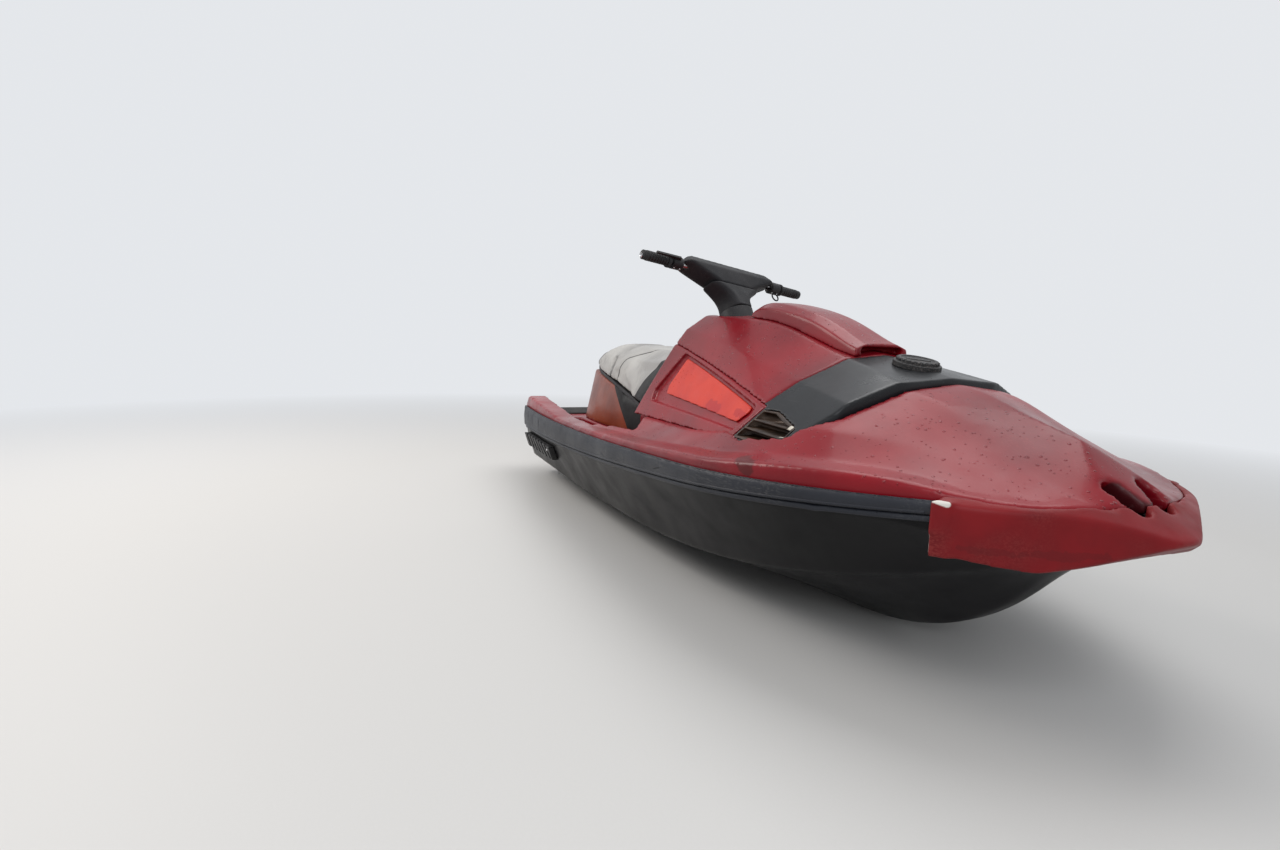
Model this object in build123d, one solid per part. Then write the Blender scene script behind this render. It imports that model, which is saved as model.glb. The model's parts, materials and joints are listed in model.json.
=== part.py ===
# A three-seat personal watercraft, standing on its keel and ride plate as when it is beached.
# Millimetres. +X is forward, +Y is to port, +Z is up. The origin is on the floor, half way along
# the craft. A station is the distance forward of the aftermost point.

from math import acos, atan2, cos, degrees, radians, sin, sqrt
import os

from build123d import *

# Overall sizes
LENGTH = 3120.0
RAIL_HALF_BEAM = 610.0
RAIL_THICKNESS = 18.0
BUMPER_REACH = 85.0
TRANSOM_STATION = 45.0
MOULDING_HALF_BEAM = RAIL_HALF_BEAM - RAIL_THICKNESS
STEM_STATION = LENGTH - BUMPER_REACH

# Plan outline: two arcs and a nose arc, tangent to each other
WIDEST_STATION = 0.6891 * LENGTH
STERN_HALF_BEAM = 0.7432 * MOULDING_HALF_BEAM
NOSE_RADIUS = 470.0

# The rub rails end this far behind the foremost point
RAIL_END_SETBACK = 272.0

# The bond line of the deck moulding on the hull moulding: station and height
BOND_STERN = (0.0, 285.0)
BOND_KNEE = (0.4135 * LENGTH, 336.0)
BOND_BOW = (LENGTH - RAIL_END_SETBACK, 465.0)

# The tables of lines give each station as a share of the length, and each breadth of the hull, the
# deck and the console as a share of the mouldings' half beam. Their heights are in millimetres.

# Hull moulding
KEEL_PAD_HALF = 30.0
CHINE_FLAT = 34.0
CHINE_DROP = 8.0
HULL_TOP_SPARE = 80.0

# station, keel height, chine half breadth, chine height, side half breadth, side height
HULL_LINES = (
    (-0.0064, 0.0, 0.6723, 92.0, 0.7635, 290.0),
    (0.2885, 0.0, 0.7432, 96.0, 0.9561, 330.0),
    (0.5449, 0.0, 0.7686, 112.0, 1.0236, 370.0),
    (0.7212, 0.0, 0.7010, 165.0, 1.0169, 405.0),
    (0.8205, 55.0, 0.5709, 232.0, 0.8953, 425.0),
    (0.8910, 208.0, 0.3919, 300.0, 0.7179, 435.0),
    (0.9391, 325.0, 0.2162, 362.0, 0.5321, 440.0),
    (0.9808, 405.0, 0.0676, 415.0, 0.2534, 448.0),
)

# Deck moulding ahead of the footwells
# station, edge height, ledge half breadth and height, flank half breadth and height,
# crease half breadth and height, crest height
DECK_LINES = (
    (0.3686, 410.0, 0.8108, 412.0, 0.5912, 470.0, 0.3378, 472.0, 472.0),
    (0.5609, 440.0, 0.8446, 445.0, 0.6841, 490.0, 0.3378, 494.0, 496.0),
    (0.7051, 467.0, 0.8699, 487.0, 0.7686, 532.0, 0.3716, 640.0, 660.0),
    (0.8013, 479.0, 0.8108, 524.0, 0.6757, 588.0, 0.2787, 690.0, 706.0),
    (0.8718, 487.0, 0.6503, 530.0, 0.4983, 568.0, 0.2534, 620.0, 656.0),
    (0.9231, 491.0, 0.5270, 507.0, 0.4223, 519.0, 0.2534, 540.0, 608.0),
    (0.9535, 494.0, 0.3986, 497.0, 0.3547, 499.0, 0.2365, 508.0, 566.0),
    (0.9808, 494.0, 0.2534, 495.0, 0.2162, 496.0, 0.1622, 499.0, 530.0),
    (1.0032, 484.0, 0.2196, 485.0, 0.1689, 486.0, 0.1182, 487.0, 489.0),
)

# Gunwales and stern platform
GUNWALE_WIDTH = 92.0
FIN_TOP_Z = 430.0
FIN_LENGTH = 340.0
GUNWALE_LOW_STATION = 830.0
GUNWALE_LOW_Z = 402.0
GUNWALE_FRONT_Z = 414.0
STERN_CORNER_RADIUS = 70.0
STERN_CORNER_HALF = STERN_HALF_BEAM + RAIL_THICKNESS + 10.0
PLATFORM_Z = 350.0
PLATFORM_END_STATION = 430.0

# Footwells
WELL_FLOOR_Z = 262.0
WELL_WALL = 10.0
WELL_FRONT_STATION = 0.4135 * LENGTH
WELL_INNER_HALF = 262.0
HOOD_LAP = 60.0
MAT_THICKNESS = 6.0
MAT_MARGIN = 8.0

# Engine bay and engine
BAY_START = 900.0
BAY_END = 1300.0
BAY_HALF = 190.0
BAY_FLOOR_Z = 85.0
ENGINE_LENGTH = 360.0
ENGINE_WIDTH = 320.0
ENGINE_HEIGHT = 340.0
ENGINE_START = 915.0

# Console: the cowl, the side panels and the black band stand on one sloping base
BASE_STATION = 0.4167 * LENGTH
BASE_Z = 470.0
BASE_SLOPE = 0.036
CONSOLE_GAP = 5.0
CONSOLE_FRONT = 0.8083 * LENGTH
CONSOLE_CORNER = 120.0
CONSOLE_TAIL = 200.0
CONSOLE_BELLY = 20.0
CONSOLE_DRAW_IN = 14.0
CONSOLE_NOSE_CUT = 40.0
CONSOLE_AFT_HALF = 0.5828 * MOULDING_HALF_BEAM
CONSOLE_FRONT_HALF = 0.7905 * MOULDING_HALF_BEAM
CONSOLE_WIDE_STATION = 0.7122 * LENGTH
CONSOLE_AFT_FOOT = 0.3830 * LENGTH
CONSOLE_AFT_HEAD = 0.4360 * LENGTH
CONSOLE_HEAD_Z = 880.0

# station, base half breadth, seam half breadth and height, shoulder half breadth and height,
# brow half breadth and height, roof height
CONSOLE_LINES = (
    (0.3462, 0.5270, 0.3209, 800.0, 0.2534, 846.0, 0.1351, 880.0, 884.0),
    (0.4487, 0.5811, 0.3581, 746.0, 0.2973, 812.0, 0.1622, 876.0, 884.0),
    (0.5769, 0.6520, 0.4764, 664.0, 0.3615, 752.0, 0.1757, 856.0, 872.0),
    (0.7051, 0.7432, 0.6182, 602.0, 0.4459, 684.0, 0.2061, 764.0, 780.0),
    (0.8205, 0.8446, 0.7432, 548.0, 0.5709, 636.0, 0.3142, 699.0, 712.0),
)

# Seams of the console, in side view: station and height
PANEL_SEAM_AFT = (0.4446 * LENGTH, 748.0)
PANEL_SEAM_FORE = (0.7019 * LENGTH, 606.0)
PANEL_FRONT_FOOT = (0.6724 * LENGTH, 494.0)
PANEL_INNER_HALF = 150.0
PANEL_SKIN = 10.0
BAND_CROWN_STATION = 0.7237 * LENGTH
BAND_SEAM_RADIUS = 700.0
BAND_FOOT_END = 0.7731 * LENGTH
BAND_FOOT_LAP = 30.0

# Recess and insert of each side panel
RECESS_DEPTH = 16.0
RECESS_RADIUS = 16.0
INSERT_STAND = 8.0
INSERT_RADIUS = 12.0
RECESS_CORNERS = (
    (0.4596 * LENGTH, 726.0),
    (0.4222 * LENGTH, 572.0),
    (0.4260 * LENGTH, 532.0),
    (0.6690 * LENGTH, 526.0),
    (0.6905 * LENGTH, 598.0),
)
INSERT_CORNERS = (
    (0.4680 * LENGTH, 708.0),
    (0.4530 * LENGTH, 600.0),
    (0.4570 * LENGTH, 570.0),
    (0.6620 * LENGTH, 546.0),
    (0.6800 * LENGTH, 592.0),
)

# Air duct in each lower corner of the band, its mouth in side view: station and height
DUCT_CORNERS = (
    (0.6808 * LENGTH, 512.0),
    (0.7038 * LENGTH, 598.0),
    (0.7250 * LENGTH, 600.0),
    (0.7654 * LENGTH, 572.0),
    (0.7622 * LENGTH, 536.0),
    (0.7250 * LENGTH, 514.0),
)
DUCT_DEPTH = 120.0
DUCT_WALL = 5.0
DUCT_VANES = 2
DUCT_VANE_THICKNESS = 5.0

# Centre pod
# station, base half breadth and shoulder half breadth in millimetres, shoulder height, crown height
POD_LINES = (
    (0.5304, 98.0, 74.0, 884.0, 902.0),
    (0.5641, 108.0, 84.0, 902.0, 924.0),
    (0.6282, 114.0, 90.0, 874.0, 896.0),
    (0.7212, 116.0, 98.0, 782.0, 796.0),
)
POD_MOUTH_DEPTH = 34.0
POD_MOUTH_HALF = 80.0
POD_MOUTH_RISE = 24.0
POD_MOUTH_TOP = 9.0

# Fuel filler cap
CAP_STATION = 0.7644 * LENGTH
CAP_RADIUS = 58.0
CAP_HEIGHT = 17.0
CAP_BASE_RADIUS = 66.0
CAP_BASE_HEIGHT = 7.0
CAP_FACETS = 10
CAP_SINK = 9.0

# Rub rail
RAIL_TOP_AT_STERN = 368.0
RAIL_TOP_MIDDLE = 406.0
RAIL_TOP_AT_BOW = 490.0
RAIL_LOW_AT_STERN = 250.0
RAIL_LOW_MIDDLE = 322.0
RAIL_LOW_AT_BOW = 446.0
BEAD_HEIGHT = 14.0
BEAD_THICKNESS = 11.0
RAIL_END_STATION = LENGTH - RAIL_END_SETBACK

# Bow bumper
BUMPER_THICKNESS = 26.0
BUMPER_GAP = 0.3
BUMPER_START = RAIL_END_STATION + BUMPER_GAP
BUMPER_NOSE_RADIUS = 130.0
BUMPER_BAND_LENGTH = 34.0
NOSE_EDGE_Z = 446.0
NOSE_SLOPE = 0.68
NOSE_CONE_HEIGHT = 330.0
# tiers of the band at each end of the bumper: low height, high height, stand above the wrap
BUMPER_TIERS = (
    (376.0, 424.0, 2.0),
    (424.0, 494.0, 6.0),
)
# the wrap in side view: station and height
BUMPER_HEAD_Z = 600.0
BUMPER_PROFILE = (
    (BUMPER_START, 384.0),
    (LENGTH - 135.0, 366.0),
    (LENGTH - 100.0, 380.0),
    (LENGTH - 28.0, 422.0),
    (LENGTH, 440.0),
    (LENGTH, BUMPER_HEAD_Z),
    (BUMPER_START, BUMPER_HEAD_Z),
)
TOW_HOLE_LENGTH = 104.0
TOW_HOLE_WIDTH = 46.0
TOW_HOLE_DEPTH = 52.0
TOW_HOLE_STATION = STEM_STATION - 18.0
TOW_HOLE_HALF = 47.0
TOW_HOLE_Z = 516.0
TOW_BAR_RADIUS = 5.0
TOW_BAR_DEPTH = 34.0

# Seat
SEAT_SPLIT_STATION = 0.2212 * LENGTH
SEAT_SPLIT_GAP = 4.0
SEAT_CONSOLE_GAP = 8.0
# station, base height, base half breadth, shoulder half breadth, shoulder height, crown height
SEAT_LINES = (
    (0.1250, 620.0, 176.0, 148.0, 668.0, 686.0),
    (0.1667, 603.0, 212.0, 184.0, 688.0, 724.0),
    (0.2212, 577.0, 232.0, 196.0, 690.0, 734.0),
    (0.3141, 530.0, 264.0, 200.0, 680.0, 718.0),
    (0.4263, 474.0, 292.0, 196.0, 702.0, 722.0),
)
TRAY_THICKNESS = 16.0
TRAY_INSET = 10.0
SEAT_REST = 0.3

# Pedestal under the seat: station, foot half breadth, head half breadth
PEDESTAL_LINES = (
    (0.1282, 236.0, 176.0),
    (0.2051, 262.0, 214.0),
    (0.2885, 256.0, 226.0),
    (0.3782, 236.0, 232.0),
)
PEDESTAL_GAP = 0.3
PEDESTAL_HEAD_Z = 640.0
LATCH_DEPTH = 22.0
LATCH_HALF = 30.0
LATCH_HEIGHT = 38.0
LATCH_DROP = 6.0

# Stern fittings
GRAB_HALF = 150.0
GRAB_RISE = 46.0
GRAB_RADIUS = 11.0
GRAB_STATION = 330.0
EYE_HALF = 300.0
EYE_Z = 232.0
EYE_RADIUS = 14.0
EYE_HOLE_RADIUS = 8.0
EYE_REACH = 24.0
EYE_THICKNESS = 8.0
EYE_PLATE = 4.0
EYE_FOOT_WIDTH = 30.0
EYE_FOOT_HEIGHT = 56.0
DRAIN_HALF = 215.0
DRAIN_Z = 120.0
DRAIN_RADIUS = 17.0
DRAIN_HEIGHT = 9.0

# Sponsons
SPONSON_START = 130.0
SPONSON_LENGTH = 620.0
SPONSON_TOP_Z = 232.0
SPONSON_LOW_Z = 160.0
SPONSON_NOSE = 50.0
SPONSON_RISE = 22.0
SPONSON_STAND = 30.0
SPONSON_TEETH = 7
SPONSON_TOOTH = 12.0
SPONSON_NOTCH = 30.0

# Jet unit
PUMP_Z = 138.0
TUNNEL_HALF = 150.0
TUNNEL_TOP_Z = 268.0
TUNNEL_END = 520.0
RIDE_PLATE_THICKNESS = 12.0
RIDE_PLATE_EDGE = 46.0
RIDE_PLATE_START = 62.0
HOUSING_RADIUS = 84.0
HOUSING_WALL = 12.0
HOUSING_AFT = 268.0
FLANGE_RADIUS = 104.0
FLANGE_THICKNESS = 12.0
FLANGE_GAP = 2.0
CONE_START = 240.0
CONE_END = 184.0
CONE_END_RADIUS = 42.0
CONE_WALL = 5.0
STATOR_VANES = 5
STATOR_HUB_RADIUS = 30.0
STATOR_LENGTH = 70.0
VANE_THICKNESS = 5.0
IMPELLER_BLADES = 3
IMPELLER_CLEARANCE = 1.5
IMPELLER_HUB_RADIUS = 27.0
IMPELLER_LENGTH = 72.0
IMPELLER_START = 352.0
BLADE_THICKNESS = 5.0
BLADE_TWIST = 62.0
SHAFT_RADIUS = 12.0
SHAFT_FIT = 0.3
SHAFT_END = 912.0
SHAFT_HOLE_SPARE = 8.0

# Steering nozzle
NOZZLE_PIVOT_STATION = 192.0
NOZZLE_FRONT = 200.0
NOZZLE_AFT = 140.0
NOZZLE_RADIUS = 62.0
NOZZLE_EXIT_RADIUS = 42.0
NOZZLE_WALL = 5.0
NOZZLE_PIN_RADIUS = 6.0
NOZZLE_EAR_GAP = 2.0
NOZZLE_EAR_THICKNESS = 7.0
NOZZLE_EAR_HALF = 14.0

# Reverse bucket
BUCKET_PIVOT_STATION = 246.0
BUCKET_INNER_RADIUS = 124.0
BUCKET_THICKNESS = 6.0
BUCKET_HALF = 118.0
BUCKET_START_ANGLE = 112.0
BUCKET_SPAN_ANGLE = 44.0
BUCKET_ARM_WIDTH = 26.0
BUCKET_PIN_RADIUS = 7.0
BUCKET_PIN_BOSS = 12.0

# Intake
INTAKE_START = 560.0
INTAKE_LENGTH = 400.0
INTAKE_HALF = 95.0
GRATE_BARS = 5
GRATE_BAR_WIDTH = 9.0
GRATE_BAR_HEIGHT = 22.0
GRATE_FRAME = 14.0

# Steering
STEER_STATION = 0.4615 * LENGTH
STEER_Z = 877.0
STEER_RAKE = 30.0
STEER_AT_REST = 13.0
NOZZLE_RATIO = 0.6
COLLAR_RADIUS = 66.0
COLLAR_HEIGHT = 14.0
COLLAR_SINK = 60.0
COLLAR_SEAT_RADIUS = 74.0
STEM_RADIUS = 15.0
STEM_FIT = 0.3
STEM_DEPTH = 90.0
NECK_GAP = 5.0
NECK_FOOT_LENGTH = 128.0
NECK_FOOT_WIDTH = 92.0
NECK_CORNER = 30.0
NECK_HEAD_LENGTH = 88.0
NECK_HEAD_WIDTH = 196.0
BAR_HEIGHT = 186.0
BAR_RADIUS = 11.0
BAR_HALF_WIDTH = 425.0
GRIP_LENGTH = 125.0
GRIP_RADIUS = 18.0
GRIP_FLANGE_RADIUS = 25.0
GRIP_FLANGE = 8.0
GRIP_RIBS = 8
PAD_LENGTH = 90.0
PAD_HALF_WIDTH = 244.0
PAD_RISE = 34.0
PAD_DROP = 66.0
BOX_LENGTH = 46.0
BOX_RADIUS = 25.0
BOX_GAP = 6.0
LEVER_LENGTH = 92.0
LEVER_THICKNESS = 8.0
LOOP_WIRE = 3.0
LOOP_RADIUS = 17.0

HULL_RINGS = 12
DECK_RINGS = 15
CONSOLE_RINGS = 9
POD_RINGS = 6
SEAT_RINGS = 7
FAR = 5000.0


def x_of(station):
    """The X coordinate of a station."""
    return station - LENGTH / 2


def in_mm(lines, *breadths):
    """A table of lines in millimetres, the columns named as breadths read as shares of the half beam."""
    rows = []
    for line in lines:
        row = [value * MOULDING_HALF_BEAM if index in breadths else value for index, value in enumerate(line)]
        rows.append((row[0] * LENGTH, *row[1:]))
    return tuple(rows)


HULL_SECTIONS = in_mm(HULL_LINES, 2, 4)
DECK_SECTIONS = in_mm(DECK_LINES, 2, 4, 6)
CONSOLE_SECTIONS = in_mm(CONSOLE_LINES, 1, 2, 4, 6)
POD_SECTIONS = in_mm(POD_LINES)
SEAT_SECTIONS = in_mm(SEAT_LINES)
PEDESTAL_SECTIONS = in_mm(PEDESTAL_LINES)


def ring_wire(station, half_points):
    """A closed section across the craft from its half, listed from the lowest to the highest point."""
    x = x_of(station)
    port = [(x, y, z) for y, z in half_points]
    starboard = [(x, -y, z) for y, z in reversed(half_points) if y > 0]
    return Wire.make_polygon(port + starboard, close=True)


def end_slopes(stations, values):
    """Slopes that keep a curve through the values free of overshoot."""
    steps = [
        (values[i + 1] - values[i]) / (stations[i + 1] - stations[i]) for i in range(len(values) - 1)
    ]
    slopes = [steps[0]]
    for i in range(1, len(steps)):
        if steps[i - 1] * steps[i] <= 0:
            slopes.append(0.0)
            continue
        before = stations[i] - stations[i - 1]
        after = stations[i + 1] - stations[i]
        first = 2 * after + before
        second = after + 2 * before
        slopes.append((first + second) / (first / steps[i - 1] + second / steps[i]))
    slopes.append(steps[-1])
    return slopes


def fair_rows(table, count):
    """Evenly spaced rows read off smooth curves through a table's columns; column 0 is the station."""
    stations = [row[0] for row in table]
    columns = list(zip(*table))[1:]
    slopes = [end_slopes(stations, column) for column in columns]
    rows = []
    for index in range(count):
        station = stations[0] + (stations[-1] - stations[0]) * index / (count - 1)
        last = len(stations) - 2
        i = min(last, max(0, sum(1 for value in stations if value <= station) - 1))
        step = stations[i + 1] - stations[i]
        t = (station - stations[i]) / step
        row = [station]
        for column, slope in zip(columns, slopes):
            start = (2 * t**3 - 3 * t**2 + 1) * column[i] + (t**3 - 2 * t**2 + t) * step * slope[i]
            end = (3 * t**2 - 2 * t**3) * column[i + 1] + (t**3 - t**2) * step * slope[i + 1]
            row.append(start + end)
        rows.append(row)
    return rows


def loft_rings(rings):
    """A smooth solid through sections given as station and half points."""
    return Solid.make_loft([ring_wire(station, half) for station, half in rings])


def span_block(first, last, low_y, high_y, low_z, high_z):
    """A block between two stations."""
    size = (last - first, high_y - low_y, high_z - low_z)
    centre = (x_of((first + last) / 2), (low_y + high_y) / 2, (low_z + high_z) / 2)
    return Pos(*centre) * Box(*size)


def side_prism(corners, low_y, high_y):
    """A prism across the craft from a side view given as station and height."""
    wire = Wire.make_polygon([(x_of(station), low_y, z) for station, z in corners], close=True)
    return Solid.extrude(Face(wire), Vector(0, high_y - low_y, 0))


def rounded_side_prism(corners, radius, low_y, high_y):
    """A prism across the craft from a side view with its corners rounded."""
    face = Face(Wire.make_polygon([(x_of(station), low_y, z) for station, z in corners], close=True))
    return Solid.extrude(face.fillet_2d(radius, face.vertices()), Vector(0, high_y - low_y, 0))


def plan_prism(corners, low_z, high_z):
    """An upright prism from a plan given as station and half breadth, mirrored to starboard."""
    port = [(x_of(station), y, low_z) for station, y in corners]
    starboard = [(x, -y, z) for x, y, z in reversed(port) if y > 0]
    wire = Wire.make_polygon(port + starboard, close=True)
    return Solid.extrude(Face(wire), Vector(0, 0, high_z - low_z))


def mirrored(shape):
    """The same piece on the other side of the craft."""
    return mirror(shape, about=Plane.XZ)


def bond_z(station):
    """The height of the bond between hull and deck."""
    first, last = (BOND_STERN, BOND_KNEE) if station < BOND_KNEE[0] else (BOND_KNEE, BOND_BOW)
    return first[1] + (last[1] - first[1]) * (station - first[0]) / (last[0] - first[0])


def bond_prism(limit_z):
    """The space between the bond and a level above or below it."""
    corners = [(station, bond_z(station)) for station in (-LENGTH, BOND_KNEE[0], 2 * LENGTH)]
    return side_prism(corners + [(2 * LENGTH, limit_z), (-LENGTH, limit_z)], -FAR, FAR)


def base_z(station):
    """The height of the plane on which the console stands."""
    return BASE_Z + BASE_SLOPE * (station - BASE_STATION)


def slope_prism(height, low, high):
    """The space between two copies of a sloping plane, from one offset to the other."""
    corners = (
        (-FAR, height(-FAR) + low),
        (FAR, height(FAR) + low),
        (FAR, height(FAR) + high),
        (-FAR, height(-FAR) + high),
    )
    return side_prism(corners, -FAR, FAR)


def outline_arcs():
    """The radii and centres of the plan outline: the long side arc, the shoulder arc and the nose arc."""
    drop = MOULDING_HALF_BEAM - STERN_HALF_BEAM
    side_radius = (WIDEST_STATION**2 + drop**2) / (2 * drop)
    run = STEM_STATION - NOSE_RADIUS - WIDEST_STATION
    shoulder_radius = (run**2 + MOULDING_HALF_BEAM**2 - NOSE_RADIUS**2) / (
        2 * (MOULDING_HALF_BEAM - NOSE_RADIUS)
    )
    return side_radius, shoulder_radius, run


def outline_face(grow=0.0, aft=-FAR):
    """The plan outline of the mouldings, grown outwards, from a station forward."""
    side_radius, shoulder_radius, run = outline_arcs()
    side_centre = (WIDEST_STATION, MOULDING_HALF_BEAM - side_radius)
    shoulder_centre = (WIDEST_STATION, MOULDING_HALF_BEAM - shoulder_radius)
    nose_centre = (STEM_STATION - NOSE_RADIUS, 0.0)
    join_angle = atan2(-shoulder_centre[1], run)

    def on(centre, radius, angle):
        return (x_of(centre[0] + radius * cos(angle)), centre[1] + radius * sin(angle))

    aft_run = WIDEST_STATION - max(aft, 0.0)
    quarter = radians(90)
    aft_angle = quarter + atan2(aft_run, sqrt((side_radius + grow) ** 2 - aft_run**2))
    stern = on(side_centre, side_radius + grow, aft_angle)
    side_middle = on(side_centre, side_radius + grow, (aft_angle + quarter) / 2)
    widest = on(side_centre, side_radius + grow, quarter)
    shoulder_middle = on(shoulder_centre, shoulder_radius + grow, (quarter + join_angle) / 2)
    join = on(shoulder_centre, shoulder_radius + grow, join_angle)
    nose_middle = on(nose_centre, NOSE_RADIUS + grow, join_angle / 2)
    nose = on(nose_centre, NOSE_RADIUS + grow, 0.0)
    port = [
        ThreePointArc(stern, side_middle, widest),
        ThreePointArc(widest, shoulder_middle, join),
        ThreePointArc(join, nose_middle, nose),
    ]
    starboard = [mirror(edge, about=Plane.XZ) for edge in port]
    closing = Line((stern[0], -stern[1]), stern)
    return make_face(port + starboard + [closing])


def outline_prism(low_z, high_z, grow=0.0, aft=-FAR):
    """The plan outline as an upright prism."""
    face = outline_face(grow, aft).face().translate((0, 0, low_z))
    return Solid.extrude(face, Vector(0, 0, high_z - low_z))


def one_solid(shape):
    """The largest solid of a result."""
    return max(shape.solids(), key=lambda solid: solid.volume)


def footwell_plan(inset, low_z, high_z):
    """Both footwells as prisms between the gunwales and the pedestal, drawn in by an inset."""
    area = outline_prism(low_z, high_z, -GUNWALE_WIDTH - inset)
    area &= span_block(
        PLATFORM_END_STATION + inset, WELL_FRONT_STATION - inset, -FAR, FAR, low_z, high_z
    )
    area -= span_block(0, LENGTH, -WELL_INNER_HALF - inset, WELL_INNER_HALF + inset, low_z, high_z)
    return area


def engine_bay():
    """The closed space that holds the engine."""
    return span_block(BAY_START, BAY_END, -BAY_HALF, BAY_HALF, BAY_FLOOR_Z, base_z(BAY_END))


def tow_plane(side):
    """The mouth of a tow recess: its X along the oval and its Z out of the nose."""
    origin = (x_of(TOW_HOLE_STATION), side * TOW_HOLE_HALF, TOW_HOLE_Z)
    return Plane(origin, x_dir=(0.81, -side * 0.23, -0.54), z_dir=(0.56, side * 0.06, 0.83))


def tow_recess(side):
    """One of the two oval tow recesses in the nose."""
    slot = Solid.extrude(SlotOverall(TOW_HOLE_LENGTH, TOW_HOLE_WIDTH).face(), Vector(0, 0, 3 * TOW_HOLE_DEPTH))
    return tow_plane(side) * Pos(0, 0, -TOW_HOLE_DEPTH) * slot


def hull_body(grow=0.0):
    """The hull's form before anything is cut from it, its sides grown outwards."""
    rings = []
    for station, keel, chine, chine_z, side, side_z in fair_rows(HULL_SECTIONS, HULL_RINGS):
        top = bond_z(station) + HULL_TOP_SPARE
        half = [
            (min(KEEL_PAD_HALF, chine / 3), keel),
            (chine - min(CHINE_FLAT, chine / 3), chine_z - CHINE_DROP),
            (chine + grow, chine_z),
            (side + grow, side_z),
            (side + grow, top),
        ]
        rings.append((station, half))
    return loft_rings(rings)


def make_hull():
    hull = hull_body()
    hull &= outline_prism(0, LENGTH, 0.0, TRANSOM_STATION)
    hull -= bond_prism(LENGTH)
    hull -= footwell_plan(0, WELL_FLOOR_Z - WELL_WALL, LENGTH)
    hull -= engine_bay()
    hull -= span_block(-100, TUNNEL_END, -TUNNEL_HALF, TUNNEL_HALF, -100, TUNNEL_TOP_Z)
    hull -= intake_cut()
    hull -= axial(SHAFT_RADIUS + SHAFT_HOLE_SPARE, TUNNEL_END, BAY_START)
    hull -= tow_recess(-1) + tow_recess(1)
    return one_solid(hull)


def intake_cut():
    """The intake in the hull's bottom, sloping up towards the pump."""
    corners = (
        (INTAKE_START, -20.0),
        (INTAKE_START + INTAKE_LENGTH, -20.0),
        (INTAKE_START + INTAKE_LENGTH, GRATE_BAR_HEIGHT + 4.0),
        (INTAKE_START + INTAKE_LENGTH * 0.4, PUMP_Z + SHAFT_RADIUS + SHAFT_HOLE_SPARE),
        (INTAKE_START, PUMP_Z + SHAFT_RADIUS + SHAFT_HOLE_SPARE),
    )
    return side_prism(corners, -INTAKE_HALF, INTAKE_HALF)


def gunwale_profile():
    """The top of the gunwales in side view, with the raised stern fins."""
    return (
        (0.0, 0.0),
        (0.0, RAIL_TOP_AT_STERN - 8.0),
        (26.0, FIN_TOP_Z - 42.0),
        (64.0, FIN_TOP_Z - 14.0),
        (120.0, FIN_TOP_Z),
        (FIN_LENGTH, FIN_TOP_Z - 6.0),
        (GUNWALE_LOW_STATION * 0.8, GUNWALE_LOW_Z + 10.0),
        (GUNWALE_LOW_STATION, GUNWALE_LOW_Z),
        (WELL_FRONT_STATION, GUNWALE_FRONT_Z),
        (WELL_FRONT_STATION, 0.0),
    )


def hood_body():
    """The form of the hood and of the deck ahead of the footwells, before anything is cut."""
    rings = []
    for row in fair_rows(DECK_SECTIONS, DECK_RINGS):
        station, edge_z, ledge, ledge_z, flank, flank_z, crease, crease_z, crest_z = row
        outer = RAIL_HALF_BEAM + RAIL_THICKNESS
        half = [
            (outer, 200.0),
            (outer, edge_z - 2.0),
            (ledge, ledge_z),
            (flank, flank_z),
            (crease, crease_z),
            (0.0, crest_z),
        ]
        rings.append((station, half))
    return loft_rings(rings) & nose_cone()


def nose_cone():
    """The cone that rounds the nose from its foremost edge back into the hood."""
    centre = STEM_STATION - NOSE_RADIUS
    radius = LENGTH - centre
    low = Cylinder(LENGTH, NOSE_EDGE_Z, align=(Align.CENTER, Align.CENTER, Align.MIN))
    cone = Cone(radius, radius - NOSE_CONE_HEIGHT / NOSE_SLOPE, NOSE_CONE_HEIGHT, align=(Align.CENTER, Align.CENTER, Align.MIN))
    form = low + Pos(0, 0, NOSE_EDGE_Z) * cone
    behind = span_block(-LENGTH, BUMPER_START, -FAR, FAR, 0, LENGTH)
    return (Pos(x_of(centre), 0, 0) * form) + behind


def stern_corner(side):
    """What is cut away to round a stern corner in plan."""
    half = STERN_CORNER_HALF - STERN_CORNER_RADIUS
    corner = span_block(-STERN_CORNER_RADIUS, STERN_CORNER_RADIUS, half, FAR, 0, LENGTH)
    corner -= Pos(x_of(STERN_CORNER_RADIUS), half, LENGTH / 2) * Cylinder(STERN_CORNER_RADIUS, LENGTH)
    return corner if side > 0 else mirrored(corner)


def make_deck():
    front = hood_body() & outline_prism(0, LENGTH)
    rear = outline_prism(0, LENGTH) & side_prism(gunwale_profile(), -FAR, FAR)
    inside = outline_prism(PLATFORM_Z, LENGTH, -GUNWALE_WIDTH)
    rear -= inside & span_block(-LENGTH, WELL_FRONT_STATION - HOOD_LAP, -FAR, FAR, 0, LENGTH)
    deck = front + rear
    deck -= console_well()
    deck -= bond_prism(-LENGTH)
    deck -= footwell_plan(0, 0, PLATFORM_Z)
    deck -= footwell_plan(WELL_WALL, 0, LENGTH)
    deck -= engine_bay()
    for side in (-1, 1):
        deck -= tow_recess(side)
        deck -= stern_corner(side)
    return deck


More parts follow.
